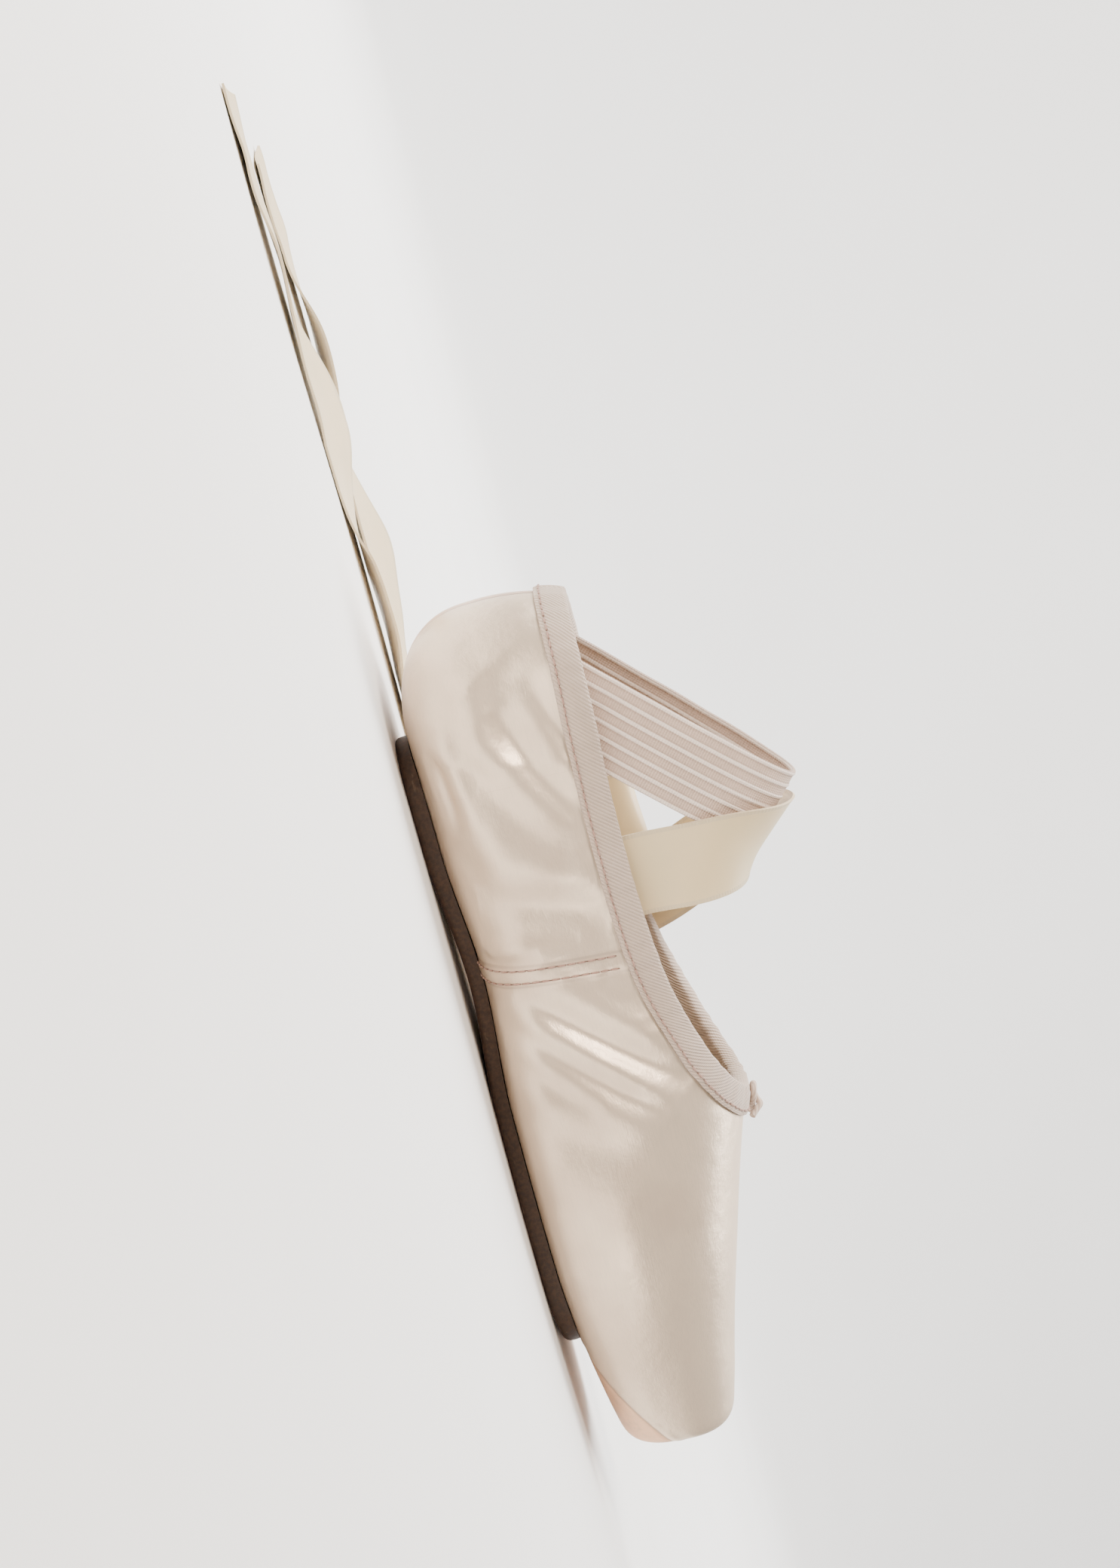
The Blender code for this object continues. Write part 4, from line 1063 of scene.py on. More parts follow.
def tape_material(colours):
    """Twill tape: diagonal ridges and a fine rib along it, matt, clouded."""
    made, shader, add = material("twill_tape", Sheen_Weight=0.25, Specular_IOR_Level=0.3)
    along, across = cloth_map(add)
    at = add("TexCoord")
    slant = add("Math", (across, 0.9, along), operation="MULTIPLY_ADD")
    # Real twill ridges are about 0.5 mm apart: they are drawn 1.15 mm apart to show
    twill = wave(add, slant, 0.00115)
    fine = wave(add, across, 0.00042)
    cloud = add("TexNoise", {"Vector": at, "Scale": per_metre(11.11), "Detail": 3.0, "Roughness": 0.55})
    colour = layer(add, colours.tape, linear("#BCA793"), cloud, 0.35, 0.7, 0.0, 0.45)
    colour = layer(add, colour, linear("#93806D"), twill, -0.1, -0.9, 0.0, 0.42)
    height = add("Math", (fine, 0.25, twill), operation="MULTIPLY_ADD")
    rough = add("MapRange", (cloud, 0.3, 0.7, 0.56, 0.66))
    normal = add("Bump", {"Height": height, "Distance": 0.00014, "Strength": 1.0})
    connect(made, shader, colour, rough, normal)
    return made


def elastic_material(colours, sizes):
    """Ribbed elastic: light raised cords along it, flat woven bands between, with painted shade beside each
    cord.
    """
    made, shader, add = material("ribbed_elastic", Sheen_Weight=0.2, Specular_IOR_Level=0.3)
    along, across = cloth_map(add)
    at = add("TexCoord")
    pitch = (ELASTIC_WIDTH - 2.0 * ELASTIC_SELVEDGE) / sizes.elastic_bands
    # Distance from the nearest cord: ten whole pitches more keep the number above zero
    shift = 0.5 * (sizes.elastic_bands + 1) + 10.0
    shifted = add("Math", (across, 1.0 / pitch, shift), operation="MULTIPLY_ADD")
    share = add("Math", (shifted,), operation="FRACT")
    from_line = add("Math", (away(add, share, 0.5), pitch), operation="MULTIPLY")
    weft = wave(add, along, 0.00075)
    warp = wave(add, across, 0.00062)
    cloud = add("TexNoise", {"Vector": at, "Scale": per_metre(8.333), "Detail": 3.0, "Roughness": 0.55})
    colour = layer(add, colours.elastic, linear("#B39B8B"), cloud, 0.3, 0.7, 0.0, 0.4)
    colour = layer(add, colour, linear("#8F7867"), weft, -0.1, -0.9, 0.0, 0.28)
    # Painted shade on the bands at the foot of each raised cord
    colour = layer(add, colour, linear("#8E7666"), from_line, 0.0006, 0.0013, 0.42, 0.0)
    colour = layer(add, colour, colours.elastic_line, from_line, 0.00035, 0.00062, 0.9, 0.0)
    height = add("Math", (warp, 0.5, weft), operation="MULTIPLY_ADD")
    rough = add("MapRange", (cloud, 0.3, 0.7, 0.62, 0.74))
    normal = add("Bump", {"Height": height, "Distance": 0.00008, "Strength": 0.8})
    connect(made, shader, colour, rough, normal)
    return made


def ribbon_material(colours):
    """Satin ribbon: softly glossy, fine lines along it and a firmer woven edge."""
    made, shader, add = material("satin_ribbon", Sheen_Weight=0.2, Specular_IOR_Level=0.5, Anisotropic=0.3)
    along, across = cloth_map(add)
    at = add("TexCoord")
    run = add("CombineXYZ", (along, across))
    # A ribbon's threads are about 0.1 mm wide, too fine to show: its lines are drawn 0.3 mm wide
    line_size = (per_metre(16.67), per_metre(0.3125), 1.0)
    line_at = add("Mapping", {"Vector": run, "Scale": line_size})
    lines = add("TexNoise", {"Vector": line_at, "Scale": 1.0, "Detail": 3.0, "Roughness": 0.6})
    cloud = add("TexNoise", {"Vector": at, "Scale": per_metre(22.22), "Detail": 3.0, "Roughness": 0.5})
    colour = layer(add, colours.ribbon, linear("#C6B48C"), cloud, 0.35, 0.75, 0.0, 0.5)
    outward_place = add("Math", (across,), operation="ABSOLUTE")
    edge_start, edge_end = 0.5 * RIBBON_WIDTH - 0.0013, 0.5 * RIBBON_WIDTH - 0.001
    edge = add("MapRange", (outward_place, edge_start, edge_end))
    shade = add("Math", (edge, 0.45), operation="MULTIPLY")
    colour = add("Mix", {0: shade, 6: colour, 7: linear("#B5A68E")})
    weft = add("Math", (wave(add, along, 0.0009), edge), operation="MULTIPLY")
    rough = add("MapRange", (cloud, 0.3, 0.7, 0.38, 0.48))
    rough = add("Math", (edge, 0.12, rough), operation="MULTIPLY_ADD")
    height = add("Math", (weft, 0.5, lines), operation="MULTIPLY_ADD")
    normal = add("Bump", {"Height": height, "Distance": 0.00007, "Strength": 0.7})
    connect(made, shader, colour, rough, normal)
    return made


def leather_material(colours, sizes):
    """Buffed sole leather: tan nap with worn blotches, a dark dyed edge and a darker stitch channel.

    The forefoot is scored with diamond cuts, which end in an arrow towards the waist.
    """
    made, shader, add = material("buffed_sole_leather", Specular_IOR_Level=0.3)
    stitch, inset = cloth_map(add)
    at = add("TexCoord")
    x, y, _ = add("SeparateXYZ", (at,)).node.outputs
    nap = add("TexNoise", {"Vector": at, "Scale": per_metre(1.111), "Detail": 5.0, "Roughness": 0.65})
    blotch = add("TexNoise", {"Vector": at, "Scale": per_metre(20.83), "Detail": 4.0, "Roughness": 0.6})
    colour = layer(add, colours.leather, colours.leather_worn, blotch, 0.35, 0.7)
    colour = layer(add, colour, linear("#7A5F48"), nap, 0.4, 0.75, 0.0, 0.35)
    # Two sets of slanted cuts: how far a place is from the middle between two cuts of each set
    cuts = []
    for slope in (DIAMOND_SLOPE, -DIAMOND_SLOPE):
        slant = add("Math", (y, slope, x), operation="MULTIPLY_ADD")
        turns = add("Math", (slant, DIAMOND_PITCH), operation="DIVIDE")
        cuts.append(away(add, add("Math", (turns,), operation="FRACT"), 0.5))
    cut = add("Math", cuts, operation="MINIMUM")
    sideways = add("Math", (y,), operation="ABSOLUTE")
    arrow = add("Math", (sideways, -1.3, x), operation="MULTIPLY_ADD")
    start = OUTSOLE_START + 0.46 * OUTSOLE_LENGTH - 0.5 * LENGTH
    ahead = add("MapRange", (arrow, start, start + 0.0006))
    within = add("MapRange", (inset, 0.0068, 0.0074))
    zone = add("Math", (ahead, within), operation="MULTIPLY")
    scored = add("MapRange", (cut, 0.045, 0.1, 1.0, 0.0))
    scored = add("Math", (zone, scored), operation="MULTIPLY")
    share = add("Math", (scored, 0.85), operation="MULTIPLY")
    colour = add("Mix", {0: share, 6: colour, 7: colours.scoring})
    # The stitch channel, and a hole between two stitches
    from_channel = away(add, inset, sizes.channel_inset)
    colour = layer(add, colour, linear("#6B4C35"), from_channel, 0.0004, 0.0011, 0.6, 0.0)
    between = away(add, add("Math", (stitch,), operation="FRACT"), 0.5)
    at_end = add("MapRange", (between, 0.36, 0.44))
    in_channel = add("MapRange", (from_channel, 0.0005, 0.0008, 1.0, 0.0))
    hole = add("Math", (at_end, in_channel), operation="MULTIPLY")
    colour = add("Mix", {0: hole, 6: colour, 7: colours.hole})
    edge = add("MapRange", (inset, 0.001, 0.0019, 1.0, 0.0))
    dyed = layer(add, colours.leather_edge, linear("#4A3628"), nap, 0.35, 0.7)
    colour = add("Mix", {0: edge, 6: colour, 7: dyed})
    scuff_size = (per_metre(16.67), per_metre(2.381), per_metre(2.381))
    scuff_at = add("Mapping", {"Vector": at, "Scale": scuff_size})
    scuff = add("TexNoise", {"Vector": scuff_at, "Scale": 1.0, "Detail": 4.0, "Roughness": 0.6})
    colour = layer(add, colour, linear("#C0A488"), scuff, 0.62, 0.8, 0.0, 0.4)
    rough = add("MapRange", (nap, 0.3, 0.7, 0.76, 0.86))
    rough = add("Math", (edge, -0.28, rough), operation="MULTIPLY_ADD")
    normal = add("Bump", {"Height": nap, "Distance": 0.00018, "Strength": 0.6})
    sunk = add("Math", (scored, -1.0), operation="MULTIPLY")
    normal = add("Bump", {"Height": sunk, "Distance": 0.00035, "Strength": 0.9, "Normal": normal})
    connect(made, shader, colour, rough, normal)
    return made


def thread_material(name, code, pitch):
    """Thread or cord: a twist that slants across it, slightly glossy, with painted shade where it dips into
    its holes.
    """
    made, shader, add = material(name, Specular_IOR_Level=0.4, Sheen_Weight=0.2)
    at = add("TexCoord")
    x, y, z = add("SeparateXYZ", (at,)).node.outputs
    slant = add("Math", (add("Math", (x, y), operation="ADD"), z), operation="ADD")
    twist = wave(add, slant, pitch)
    cloud = add("TexNoise", {"Vector": at, "Scale": per_metre(3.333), "Detail": 2.0, "Roughness": 0.5})
    dip = add("Attribute", attribute_name="dip")
    colour = layer(add, code, linear("#8C7463"), twist, 0.2, -0.9, 0.0, 0.4)
    # Painted shade on the thread where it dips into its holes
    colour = layer(add, colour, linear("#5E4234"), dip, 0.25, 0.75, 0.0, 0.9)
    rough = add("MapRange", (cloud, 0.3, 0.7, 0.5, 0.62))
    normal = add("Bump", {"Height": twist, "Distance": 0.00006, "Strength": 0.8})
    connect(made, shader, colour, rough, normal)
    return made


def floor_material(colours):
    """Plain pale studio floor: matt with a barely seen tone."""
    made, shader, add = material("studio_floor", Specular_IOR_Level=0.2)
    at = add("TexCoord")
    tone = add("TexNoise", {"Vector": at, "Scale": per_metre(166.7), "Detail": 3.0, "Roughness": 0.5})
    grain = add("TexNoise", {"Vector": at, "Scale": per_metre(1.429), "Detail": 3.0, "Roughness": 0.5})
    colour = layer(add, colours.floor, linear("#EAE7E3"), tone, 0.3, 0.7, 0.0, 0.25)
    rough = add("MapRange", (tone, 0.3, 0.7, 0.74, 0.82))
    normal = add("Bump", {"Height": grain, "Distance": 0.0001, "Strength": 0.15})
    connect(made, shader, colour, rough, normal)
    return made


# Pieces


def ride(made, node):
    """Puts a piece on the frame in place of its node."""
    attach(made, "root")
    if node:
        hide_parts(node)
    return made


def collar_run(ribs_of):
    """Length round the collar up to each rib, and the whole length."""
    edge = ribs_of.read(ribs_of.upper[:, None])[:, 0]
    return lengths_along(np.vstack((edge, edge[:1])))


def build_upper(sizes, colours):
    """The satin shell.

    Outer face: the last's surface along each rib, from the bottom opening to the collar, moved out by
    the relief and by the collar's gathers, which fade over 5 mm below the binding. Inner face: the
    same places moved in by the wall, with the creases alone.
    """
    base = shell()
    lengths = base.even(base.lower, base.upper, STEPS)
    outer = base.read(lengths)
    normal = outward(outer)
    below = base.upper[:, None] - lengths
    run = collar_run(base)
    fading = np.exp(-np.maximum(below - 0.5 * BINDING_WIDTH, 0.0) / GATHER_REACH)
    height = relief(outer, sizes) + gathers(run[:-1], sizes)[:, None] * fading
    face = outer + normal * height[..., None]
    inner_lengths = base.even(base.lower, base.upper, INNER_STEPS)[:, ::-1]
    inner = base.read(inner_lengths)
    inner_height = 0.8 * creases(inner, sizes.crease_depth) - wall(inner[..., 0])
    lining = inner + outward(inner) * inner_height[..., None]
    loops = np.concatenate((face, lining), axis=1)
    clean = np.concatenate((outer, inner), axis=1)
    rows, columns = loops.shape[:2]
    quads, places = grid_quads(rows, columns, True, True)
    slots = (places[:, 0, 1] >= STEPS).astype(int)
    inside = np.zeros((rows, columns))
    inside[:, STEPS:] = 1.0
    fields = {
        "under_toe": np.where(inside > 0.5, -0.05, under_toe(clean)),
        "back_seam": np.where(inside > 0.5, 0.1, back_seam(clean)),
        "side_seam": np.where(inside > 0.5, 0.1, side_seam(clean)),
    }
    satin = satin_material(colours)
    cotton = cotton_material("cotton_lining", colours.lining, 0.45)
    made = piece("satin_upper", loops, quads, [satin, cotton], slots=slots, fields=fields)
    return ride(made, "upper")


def build_outsole(sizes, colours):
    """The outsole.

    Rings run from the centreline to the edge on both faces: the top follows the last's underside, the
    underside is the sole's rise with a bevel at the edge and a rounded channel sunk at its inset.
    """
    base = shell()
    reach = base.outsole_reach()
    channel = sizes.channel_inset
    insets = np.concatenate((np.linspace(0.0, OUTSOLE_BEVEL, 4), (0.0016, 0.0026, 0.0034)))
    insets = np.concatenate((insets, channel + np.linspace(-0.0011, 0.0011, 9), (0.0062, 0.0072, 0.0086)))
    share = np.linspace(0.0, 1.0, 11)[1:]
    fixed = reach[:, None] - insets[None, :]
    middle = fixed[:, -1:] * (1.0 - share[None, :])
    out = np.maximum(np.concatenate((fixed, middle), axis=1), 0.0)
    depth = np.concatenate((np.tile(insets, (len(reach), 1)), reach[:, None] - middle), axis=1)
    plan = base.at(out, 0.0 * out)
    bevel = OUTSOLE_BEVEL * np.clip(1.0 - depth / OUTSOLE_BEVEL, 0.0, 1.0) ** 2
    sunk = sizes.channel_depth * bell(depth - channel, sizes.channel_width)
    under = plan.copy()
    under[..., 2] = sole_rise(plan[..., 0]) + bevel + sunk
    top_out = reach[:, None] * np.linspace(1.0, 0.0, 15)[None, :]
    top_plan = base.at(top_out, 0.0 * top_out)
    top = under_surface(top_plan[..., 0], top_plan[..., 1])
    top[..., 2] -= CLEARANCE
    wall_low, wall_high = under[:, :1], top[:, :1]
    side = np.linspace(1.0, 0.0, 7)[None, 1:-1, None]
    edge = wall_low + (wall_high - wall_low) * side
    bulge = 0.00012 * np.sin(math.pi * side[..., 0])
    edge[..., 0] += base.ways[:, :1] * bulge
    edge[..., 1] += base.ways[:, 1:] * bulge
    loops = np.concatenate((top[:, ::-1], edge, under), axis=1)
    depths = np.concatenate((reach[:, None] - top_out[:, ::-1], np.zeros((len(reach), 5)), depth), axis=1)
    depths[:, :15] = 0.0
    rows, columns = loops.shape[:2]
    quads, places = grid_quads(rows, columns, True, False)
    ring = base.at((reach - channel)[:, None], 0.0 * reach[:, None])[:, 0]
    path = np.vstack((ring, ring[:1]))
    run = lengths_along(path)
    stitch = run / run[-1] * sizes.sole_stitches
    uv = np.stack((stitch[places[..., 0]], depths[places[..., 0] % rows, places[..., 1]]), axis=-1)
    made = piece("leather_outsole", loops, quads, [leather_material(colours, sizes)], uv=uv, weld=WELD)
    ride(made, "outsole")
    path[:, 2] = sole_rise(path[:, 0]) + 1.45 * sizes.sole_thread + 0.00006
    down = np.tile((0.0, 0.0, -1.0), (len(path), 1))
    points, quads, dips = stitch_row(path, down, run[-1] / sizes.sole_stitches, sizes.sole_thread)
    waxed = thread_material("waxed_thread", colours.sole_thread, 0.0008)
    thread = piece("outsole_stitches", points, quads, [waxed], fields={"dip": dips})
    return ride(thread, None)


def build_insole(colours):
    """The cotton sock: two faces a thickness apart along the last's underside, with a rounded edge."""
    base = shell()
    far_x = base.feet + base.ways[:, 0] * base.reach
    share = 0.62 + 0.18 * ease((far_x / LENGTH - 0.40) / 0.25)
    turn = np.linspace(0.0, 1.0, 22) ** 0.8
    out = (base.reach * share)[:, None] * turn
    plan = base.at(out, 0.0 * out)
    face = under_surface(plan[..., 0], plan[..., 1])
    normal = outward(face)
    depth = wall(face[..., 0]) + CLEARANCE
    soft = INSOLE_THICKNESS * (1.0 - 0.45 * ease((turn[None, :] - 0.93) / 0.07))
    dome = 0.00025 * np.sin(face[..., 0] / 0.011) * np.sin(face[..., 1] / 0.009 + 0.6)
    top = face - normal * (depth + soft + dome)[..., None]
    under = face - normal * depth[..., None]
    loops = np.concatenate((top, under[:, ::-1]), axis=1)
    quads, _ = grid_quads(loops.shape[0], loops.shape[1], True, False)
    sock = cotton_material("cotton_sock", colours.insole, 0.6)
    made = piece("cotton_insole", loops, quads, [sock], weld=WELD)
    return ride(made, "insole")


def build_binding(sizes, colours):
    """The tape folded over the collar.

    A rounded channel section is carried along the collar with its gathers: down the outside with a low
    belly, round the edge as a flattened half circle, down the inside and back along the shell.
    """
    base = shell()
    run = collar_run(base)
    gather = gathers(run[:-1], sizes)[:, None]
    near, far = CLEARANCE, CLEARANCE + BINDING_THICKNESS
    thick = wall(base.read(base.upper[:, None])[..., 0])
    columns, across = [], []

    def add_column(down, offset, place_across):
        face = base.read(base.upper[:, None] - down)
        rise = offset + gather
        if np.max(offset) > 0.0:
            rise = rise + relief(face, sizes)
        columns.append(face + outward(face) * np.broadcast_to(rise, (base.count, 1))[..., None])
        across.append(place_across)

    for share in np.linspace(1.0, 0.0, 11):
        edge = BINDING_EDGE_ROUNDING * ease((share - 0.93) / 0.07)
        belly = BINDING_BELLY * math.sin(math.pi * min(1.0, share * 1.1))
        add_column(share * BINDING_WIDTH, far - edge + belly, (1.0 - share) * BINDING_WIDTH)
    for turn in np.linspace(0.12, 0.88, 6):
        swing = math.pi * turn
        middle = -0.5 * thick
        add_column(
            -far * math.sin(swing) ** 0.7,
            middle + (far + 0.5 * thick) * math.cos(swing),
            BINDING_WIDTH + turn * BINDING_TURN,
        )
    for share in np.linspace(0.0, 1.0, 8):
        inside = share * BINDING_INNER_WIDTH
        add_column(inside, -thick - far, BINDING_WIDTH + BINDING_TURN + inside)
    for share in np.linspace(1.0, 0.0, 5):
        add_column(share * BINDING_INNER_WIDTH, -thick - near, BINDING_WIDTH + 0.010)
    add_column(-near, -thick * 0.9, 0.018)
    add_column(-near, -thick * 0.1, 0.019)
    for share in np.linspace(0.0, 1.0, 6):
        add_column(share * BINDING_WIDTH, near, 0.020)
    loops = np.concatenate(columns, axis=1)
    quads, places = grid_quads(loops.shape[0], loops.shape[1], True, True)
    widths = np.array(across + [across[0]])
    uv = np.stack((run[places[..., 0]], widths[places[..., 1]]), axis=-1)
    made = piece("twill_binding", loops, quads, [tape_material(colours)], uv=uv)
    return ride(made, "collar_binding")


def build_threads(sizes, colours):
    """Rows of stitches along the binding's lower edge and down both sides of each side seam."""
    base = shell()
    face = base.read((base.upper - BINDING_WIDTH + THREAD_INSET)[:, None])
    up = outward(face)
    gather = gathers(collar_run(base)[:-1], sizes)[:, None]
    rise = CLEARANCE + BINDING_THICKNESS + 0.0001 + relief(face, sizes) + gather
    row = (face + up * rise[..., None])[:, 0]
    row, up = np.vstack((row, row[:1])), np.vstack((up[:, 0], up[:1, 0]))
    parts = [stitch_row(row, up, sizes.seam_stitch_pitch, sizes.seam_thread)]
    z = np.linspace(0.0062, 0.0425, 90)
    for side in (-1.0, 1.0):
        for gap in (-0.5, 0.5):
            points = side_point(seam_place(z) + gap * sizes.seam_stitch_gap, z, side)
            up = outward(points)
            points = points + up * relief(points, sizes)[..., None]
            parts.append(stitch_row(points, up, sizes.seam_stitch_pitch, sizes.seam_thread))
    points, quads, dips = joined(parts)
    sewing = thread_material("sewing_thread", colours.thread, 0.0005)
    made = piece("sewing_threads", points, quads, [sewing], fields={"dip": dips})
    return ride(made, None)


def build_elastic(sizes, colours):
    """The elastic: tucked inside both quarters, then an arch leaning to the toe.

    On each side the height along the lean is the rise times the sine of the turn and the half width
    its cosine, both to the power 0.8. The cords along it are bells of the distance from their lines.
    """
    seat = wall(0.0) + CLEARANCE + BINDING_THICKNESS + STRAP_CLEARANCE + 0.5 * ELASTIC_THICKNESS
    lines = np.linspace(-0.5, 0.5, sizes.elastic_bands + 1) * (ELASTIC_WIDTH - 2.0 * ELASTIC_SELVEDGE)
    beside = np.array((-0.0010, -0.0006, -0.00035, 0.0, 0.00035, 0.0006, 0.0010, 0.00165))
    across = (lines[:, None] + beside[None, :]).ravel()
    across = np.clip(np.sort(across), -0.5 * ELASTIC_WIDTH, 0.5 * ELASTIC_WIDTH)
    across = np.unique(np.round(across, 7))
    forward = np.array((math.cos(ELASTIC_LEAN), math.sin(ELASTIC_LEAN)))
    sideways = np.array((math.sin(ELASTIC_LEAN), -math.cos(ELASTIC_LEAN)))
    foot = np.array((ELASTIC_PLACE, ELASTIC_FOOT_HEIGHT)) + across[:, None] * sideways
    side = []

    def inner_half(place):
        points = side_point(place[:, 0], place[:, 1], 1.0)
        return points[:, 1] - seat / np.maximum(np.abs(outward(points)[:, 1]), 0.4)

    for rise in np.linspace(-ELASTIC_TUCK_LENGTH, 0.0, 16)[:-1]:
        at = foot + rise * forward
        side.append(np.column_stack((at[:, 0], inner_half(at), at[:, 1])))
    base = inner_half(foot)
    for turn in np.linspace(0.0, 0.5 * math.pi, 64):
        at = foot + ELASTIC_RISE * math.sin(turn) ** 0.8 * forward
        side.append(np.column_stack((at[:, 0], base * math.cos(turn) ** 0.8, at[:, 1])))
    side = np.array(side)
    middle = np.concatenate((side, side[-2::-1] * (1.0, -1.0, 1.0)))
    normal = unit(np.cross(np.gradient(middle, axis=0), np.gradient(middle, axis=1)))
    run = lengths_along(middle[:, len(across) // 2])
    near_line = np.abs(across[:, None] - lines[None, :]).min(axis=1)
    rib = bell(near_line, ELASTIC_CORD_WIDTH)
    flat = 0.5 * ELASTIC_THICKNESS - sizes.elastic_cord_height + 0.00008
    ripple = 0.00012 * np.sin(run / 0.0031)[:, None] * np.cos(across / 0.004)[None, :]
    half = (flat + sizes.elastic_cord_height * rib)[None, :, None] * np.ones((len(run), 1, 1))
    over = middle + normal * (half + ripple[..., None])
    under = middle - normal * (half - ripple[..., None])
    loops, quads, uv = strip(over, under, run, across)
    made = piece("ribbed_elastic", loops, quads, [elastic_material(colours, sizes)], uv=uv)
    return ride(made, "instep_elastic")


def build_ribbon(name, node, points, sizes, made_of, phase):
    """A tie: a thin strip along its route, cupped a little across, rippled along and never below the floor.

    Across it the offset is a low arch; along it two sines of unlike length; its edges are thicker.
    """
    path, side, normal = route(points, RIBBON_SPACING)
    run = lengths_along(path)
    across = np.linspace(-0.5, 0.5, RIBBON_COLUMNS)
    free = ease(run / 0.03)[:, None]
    cup = 0.00045 * free * np.cos(math.pi * across)[None, :]
    cup = cup + 0.00035 * free * (np.sin(run / 0.0085 + phase)[:, None] * across[None, :] * 2.0)
    cup = cup + 0.00018 * free * np.sin(run / 0.0037 + phase)[:, None] * np.cos(5.0 * across + phase)[None, :]
    half = 0.5 * sizes.ribbon_thickness * (1.0 + 0.35 * ease((np.abs(across) - 0.44) / 0.03))[None, :]
    middle = path[:, None] + side[:, None] * (across * RIBBON_WIDTH)[None, :, None]
    over = middle + normal[:, None] * (cup + half)[..., None]
    under = middle + normal[:, None] * (cup - half)[..., None]
    loops, quads, uv = strip(over, under, run, across * RIBBON_WIDTH)
    lift = np.maximum(0.0, FLOOR_GAP - loops[..., 2].min(axis=1))
    loops[..., 2] += lift[:, None]
    made = piece(name, loops, quads, [made_of], uv=uv)
    ride(made, node)
    return made


def build_knot(colours):
    """The drawstring's knot: a loop of cord whose short ends cross, flat on the front of the throat."""
    base = shell()
    front = base.count // 2
    seat = base.read(base.upper[:, None] - 0.55 * BINDING_WIDTH)[front, 0]
    up = outward(seat[None])[0]
    ahead = np.cross((0.0, 1.0, 0.0), up)
    lift = CLEARANCE * 2.0 + BINDING_THICKNESS + 0.5 * DRAWSTRING_DIAMETER
    table = np.column_stack((np.arange(len(KNOT)), KNOT))
    places = np.linspace(0.0, len(KNOT) - 1.0, 121)
    forward, across, rise = (spline(table, column, places) * DRAWSTRING_DIAMETER for column in (1, 2, 3))
    rise = lift + np.maximum(rise, 0.0)
    path = seat + np.outer(forward, ahead) + np.outer(across, (0.0, 1.0, 0.0)) + np.outer(rise, up)
    radius = np.full(len(path), 0.5 * DRAWSTRING_DIAMETER)
    loops = tube(path, np.tile(up, (len(path), 1)), radius, CORD_SIDES)
    cord = thread_material("cotton_cord", colours.tape, 0.0016)
    made = piece("drawstring_cord", loops, tube_quads(len(loops), CORD_SIDES), [cord])
    return ride(made, "drawstring_knot")


# Stage


def look(azimuth, elevation, roll, target, distance):
    """A camera's matrix: on a sphere round target, turned about its own axis by roll."""
    level = math.cos(elevation)
    back = Vector((math.sin(azimuth) * level, -math.cos(azimuth) * level, math.sin(elevation)))
    right = (-back).cross(Vector((0.0, 0.0, 1.0))).normalized()
    up = right.cross(-back)
    turned = math.cos(roll) * right + math.sin(roll) * up
    above = -math.sin(roll) * right + math.cos(roll) * up
    matrix = Matrix((turned, above, back)).transposed().to_4x4()
    matrix.translation = Vector(target) + distance * back
    return matrix


def area_light(name, place_at, target, size, power, tint):
    """A soft square light aimed at a point."""
    lamp = bpy.data.lights.new(name, "AREA")
    lamp.shape = "SQUARE"
    lamp.size = size
    lamp.energy = power
    lamp.color = linear(tint)[:3]
    made = bpy.data.objects.new(name, lamp)
    made.location = place_at
    made.rotation_euler = (Vector(target) - Vector(place_at)).to_track_quat("-Z", "Y").to_euler()
    bpy.context.scene.collection.objects.link(made)


def build_stage(colours):
    """A sweep, soft lights and the camera.

    The sweep's section runs flat under the shoe, curves up as a quarter circle and ends in a wall.
    """
    turn = np.linspace(0.1, 0.5 * math.pi, 14)
    wall_place = SWEEP_START + SWEEP_RADIUS
    curve = SWEEP_START + SWEEP_RADIUS * np.sin(turn)
    y = np.concatenate((np.linspace(-2.5, SWEEP_START, 8), curve, (wall_place, wall_place)))
    rise = SWEEP_RADIUS - SWEEP_RADIUS * np.cos(turn)
    z = SWEEP_FLOOR + np.concatenate((np.zeros(8), rise, (0.5 * SWEEP_HEIGHT, SWEEP_HEIGHT)))
    x = np.linspace(-SWEEP_HALF_WIDTH, SWEEP_HALF_WIDTH, 9)
    points = np.stack(np.broadcast_arrays(x[:, None], y[None, :], z[None, :]), axis=-1)
    quads, _ = grid_quads(len(x), len(y))
    mesh = bpy.data.meshes.new("studio_sweep")
    mesh.from_pydata(points.reshape(-1, 3).tolist(), [], quads.tolist())
    mesh.materials.append(floor_material(colours))
    mesh.shade_smooth()
    sweep = bpy.data.objects.new("studio_sweep", mesh)
    bpy.context.scene.collection.objects.link(sweep)
    for light in LIGHTS:
        area_light(*light)
    world = bpy.data.worlds.new("studio")
    world.use_nodes = True
    background = world.node_tree.nodes["Background"]
    background.inputs[0].default_value = linear("#ECECEC")
    background.inputs[1].default_value = WORLD_STRENGTH
    bpy.context.scene.world = world
    camera = bpy.data.cameras.new("camera")
    camera.lens = CAMERA_LENS
    camera.sensor_width = 36.0
    made = bpy.data.objects.new("camera", camera)
    made.matrix_world = look(CAMERA_TURN, CAMERA_RISE, CAMERA_ROLL, CAMERA_TARGET, CAMERA_DISTANCE)
    bpy.context.scene.collection.objects.link(made)
    bpy.context.scene.camera = made


# The add-on


def settings(context):
    """The shoe's sizes and colours as the user set them."""
    return context.scene.pointe_sizes, context.scene.pointe_colours


class POINTE_OT_upper(bpy.types.Operator):
    """Builds the satin shell"""

    bl_idname = "pointe.upper"
    bl_label = "Upper"
    bl_options = {"REGISTER", "UNDO"}

    def execute(self, context):
        sizes, colours = settings(context)
        build_upper(sizes, colours)
        return {"FINISHED"}


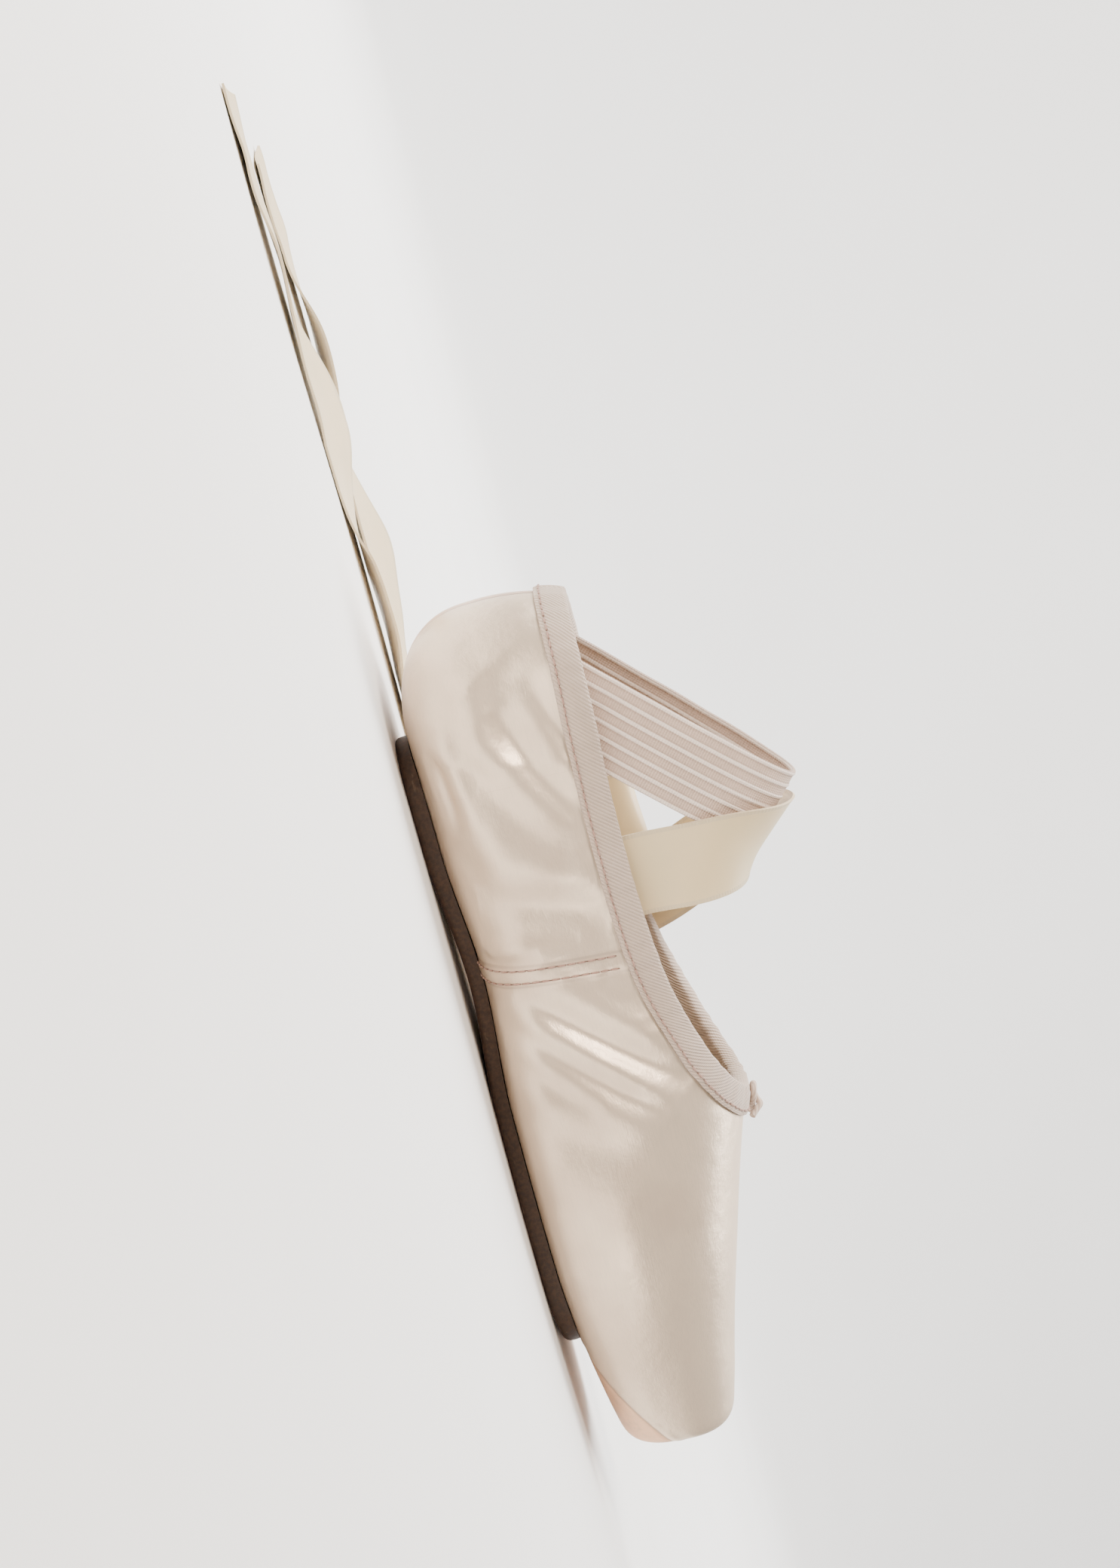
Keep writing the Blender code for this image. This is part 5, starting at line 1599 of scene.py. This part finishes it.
class POINTE_OT_soles(bpy.types.Operator):
    """Builds the outsole with its stitches and the insole"""

    bl_idname = "pointe.soles"
    bl_label = "Outsole and insole"
    bl_options = {"REGISTER", "UNDO"}

    def execute(self, context):
        sizes, colours = settings(context)
        build_outsole(sizes, colours)
        build_insole(colours)
        return {"FINISHED"}


class POINTE_OT_binding(bpy.types.Operator):
    """Builds the collar's binding, the sewing threads and the drawstring's knot"""

    bl_idname = "pointe.binding"
    bl_label = "Binding, threads and knot"
    bl_options = {"REGISTER", "UNDO"}

    def execute(self, context):
        sizes, colours = settings(context)
        build_binding(sizes, colours)
        build_threads(sizes, colours)
        build_knot(colours)
        return {"FINISHED"}


class POINTE_OT_elastic(bpy.types.Operator):
    """Builds the ribbed elastic over the instep"""

    bl_idname = "pointe.elastic"
    bl_label = "Elastic"
    bl_options = {"REGISTER", "UNDO"}

    def execute(self, context):
        sizes, colours = settings(context)
        build_elastic(sizes, colours)
        return {"FINISHED"}


class POINTE_OT_ribbons(bpy.types.Operator):
    """Builds the two loose ties"""

    bl_idname = "pointe.ribbons"
    bl_label = "Ribbons"
    bl_options = {"REGISTER", "UNDO"}

    def execute(self, context):
        sizes, colours = settings(context)
        made_of = ribbon_material(colours)
        build_ribbon("near_tie", "ribbon_near", NEAR_RIBBON, sizes, made_of, 0.4)
        build_ribbon("far_tie", "ribbon_far", FAR_RIBBON, sizes, made_of, 2.1)
        return {"FINISHED"}


class POINTE_OT_stage(bpy.types.Operator):
    """Builds the floor, the lights and the camera"""

    bl_idname = "pointe.stage"
    bl_label = "Stage"
    bl_options = {"REGISTER", "UNDO"}

    def execute(self, context):
        _, colours = settings(context)
        build_stage(colours)
        return {"FINISHED"}


class POINTE_PT_panel(bpy.types.Panel):
    """Lists the shoe's settings and operators"""

    bl_idname = "POINTE_PT_panel"
    bl_label = "Pointe Shoe"
    bl_space_type = "VIEW_3D"
    bl_region_type = "UI"
    bl_category = "Pointe Shoe"

    def draw(self, context):
        for group in settings(context):
            box = self.layout.box()
            for name in group.__annotations__:
                box.prop(group, name)
        for operator in OPERATORS:
            self.layout.operator(operator.bl_idname)


OPERATORS = (
    POINTE_OT_upper,
    POINTE_OT_soles,
    POINTE_OT_binding,
    POINTE_OT_elastic,
    POINTE_OT_ribbons,
    POINTE_OT_stage,
)
CLASSES = (PointeSizes, PointeColours) + OPERATORS + (POINTE_PT_panel,)


def register():
    for made in CLASSES:
        bpy.utils.register_class(made)
    bpy.types.Scene.pointe_sizes = PointerProperty(type=PointeSizes)
    bpy.types.Scene.pointe_colours = PointerProperty(type=PointeColours)


def unregister():
    del bpy.types.Scene.pointe_colours
    del bpy.types.Scene.pointe_sizes
    for made in reversed(CLASSES):
        bpy.utils.unregister_class(made)


def main():
    register()
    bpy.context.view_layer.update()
    for operator in OPERATORS:
        area, name = operator.bl_idname.split(".")
        getattr(getattr(bpy.ops, area), name)()


if __name__ == "__main__":
    main()
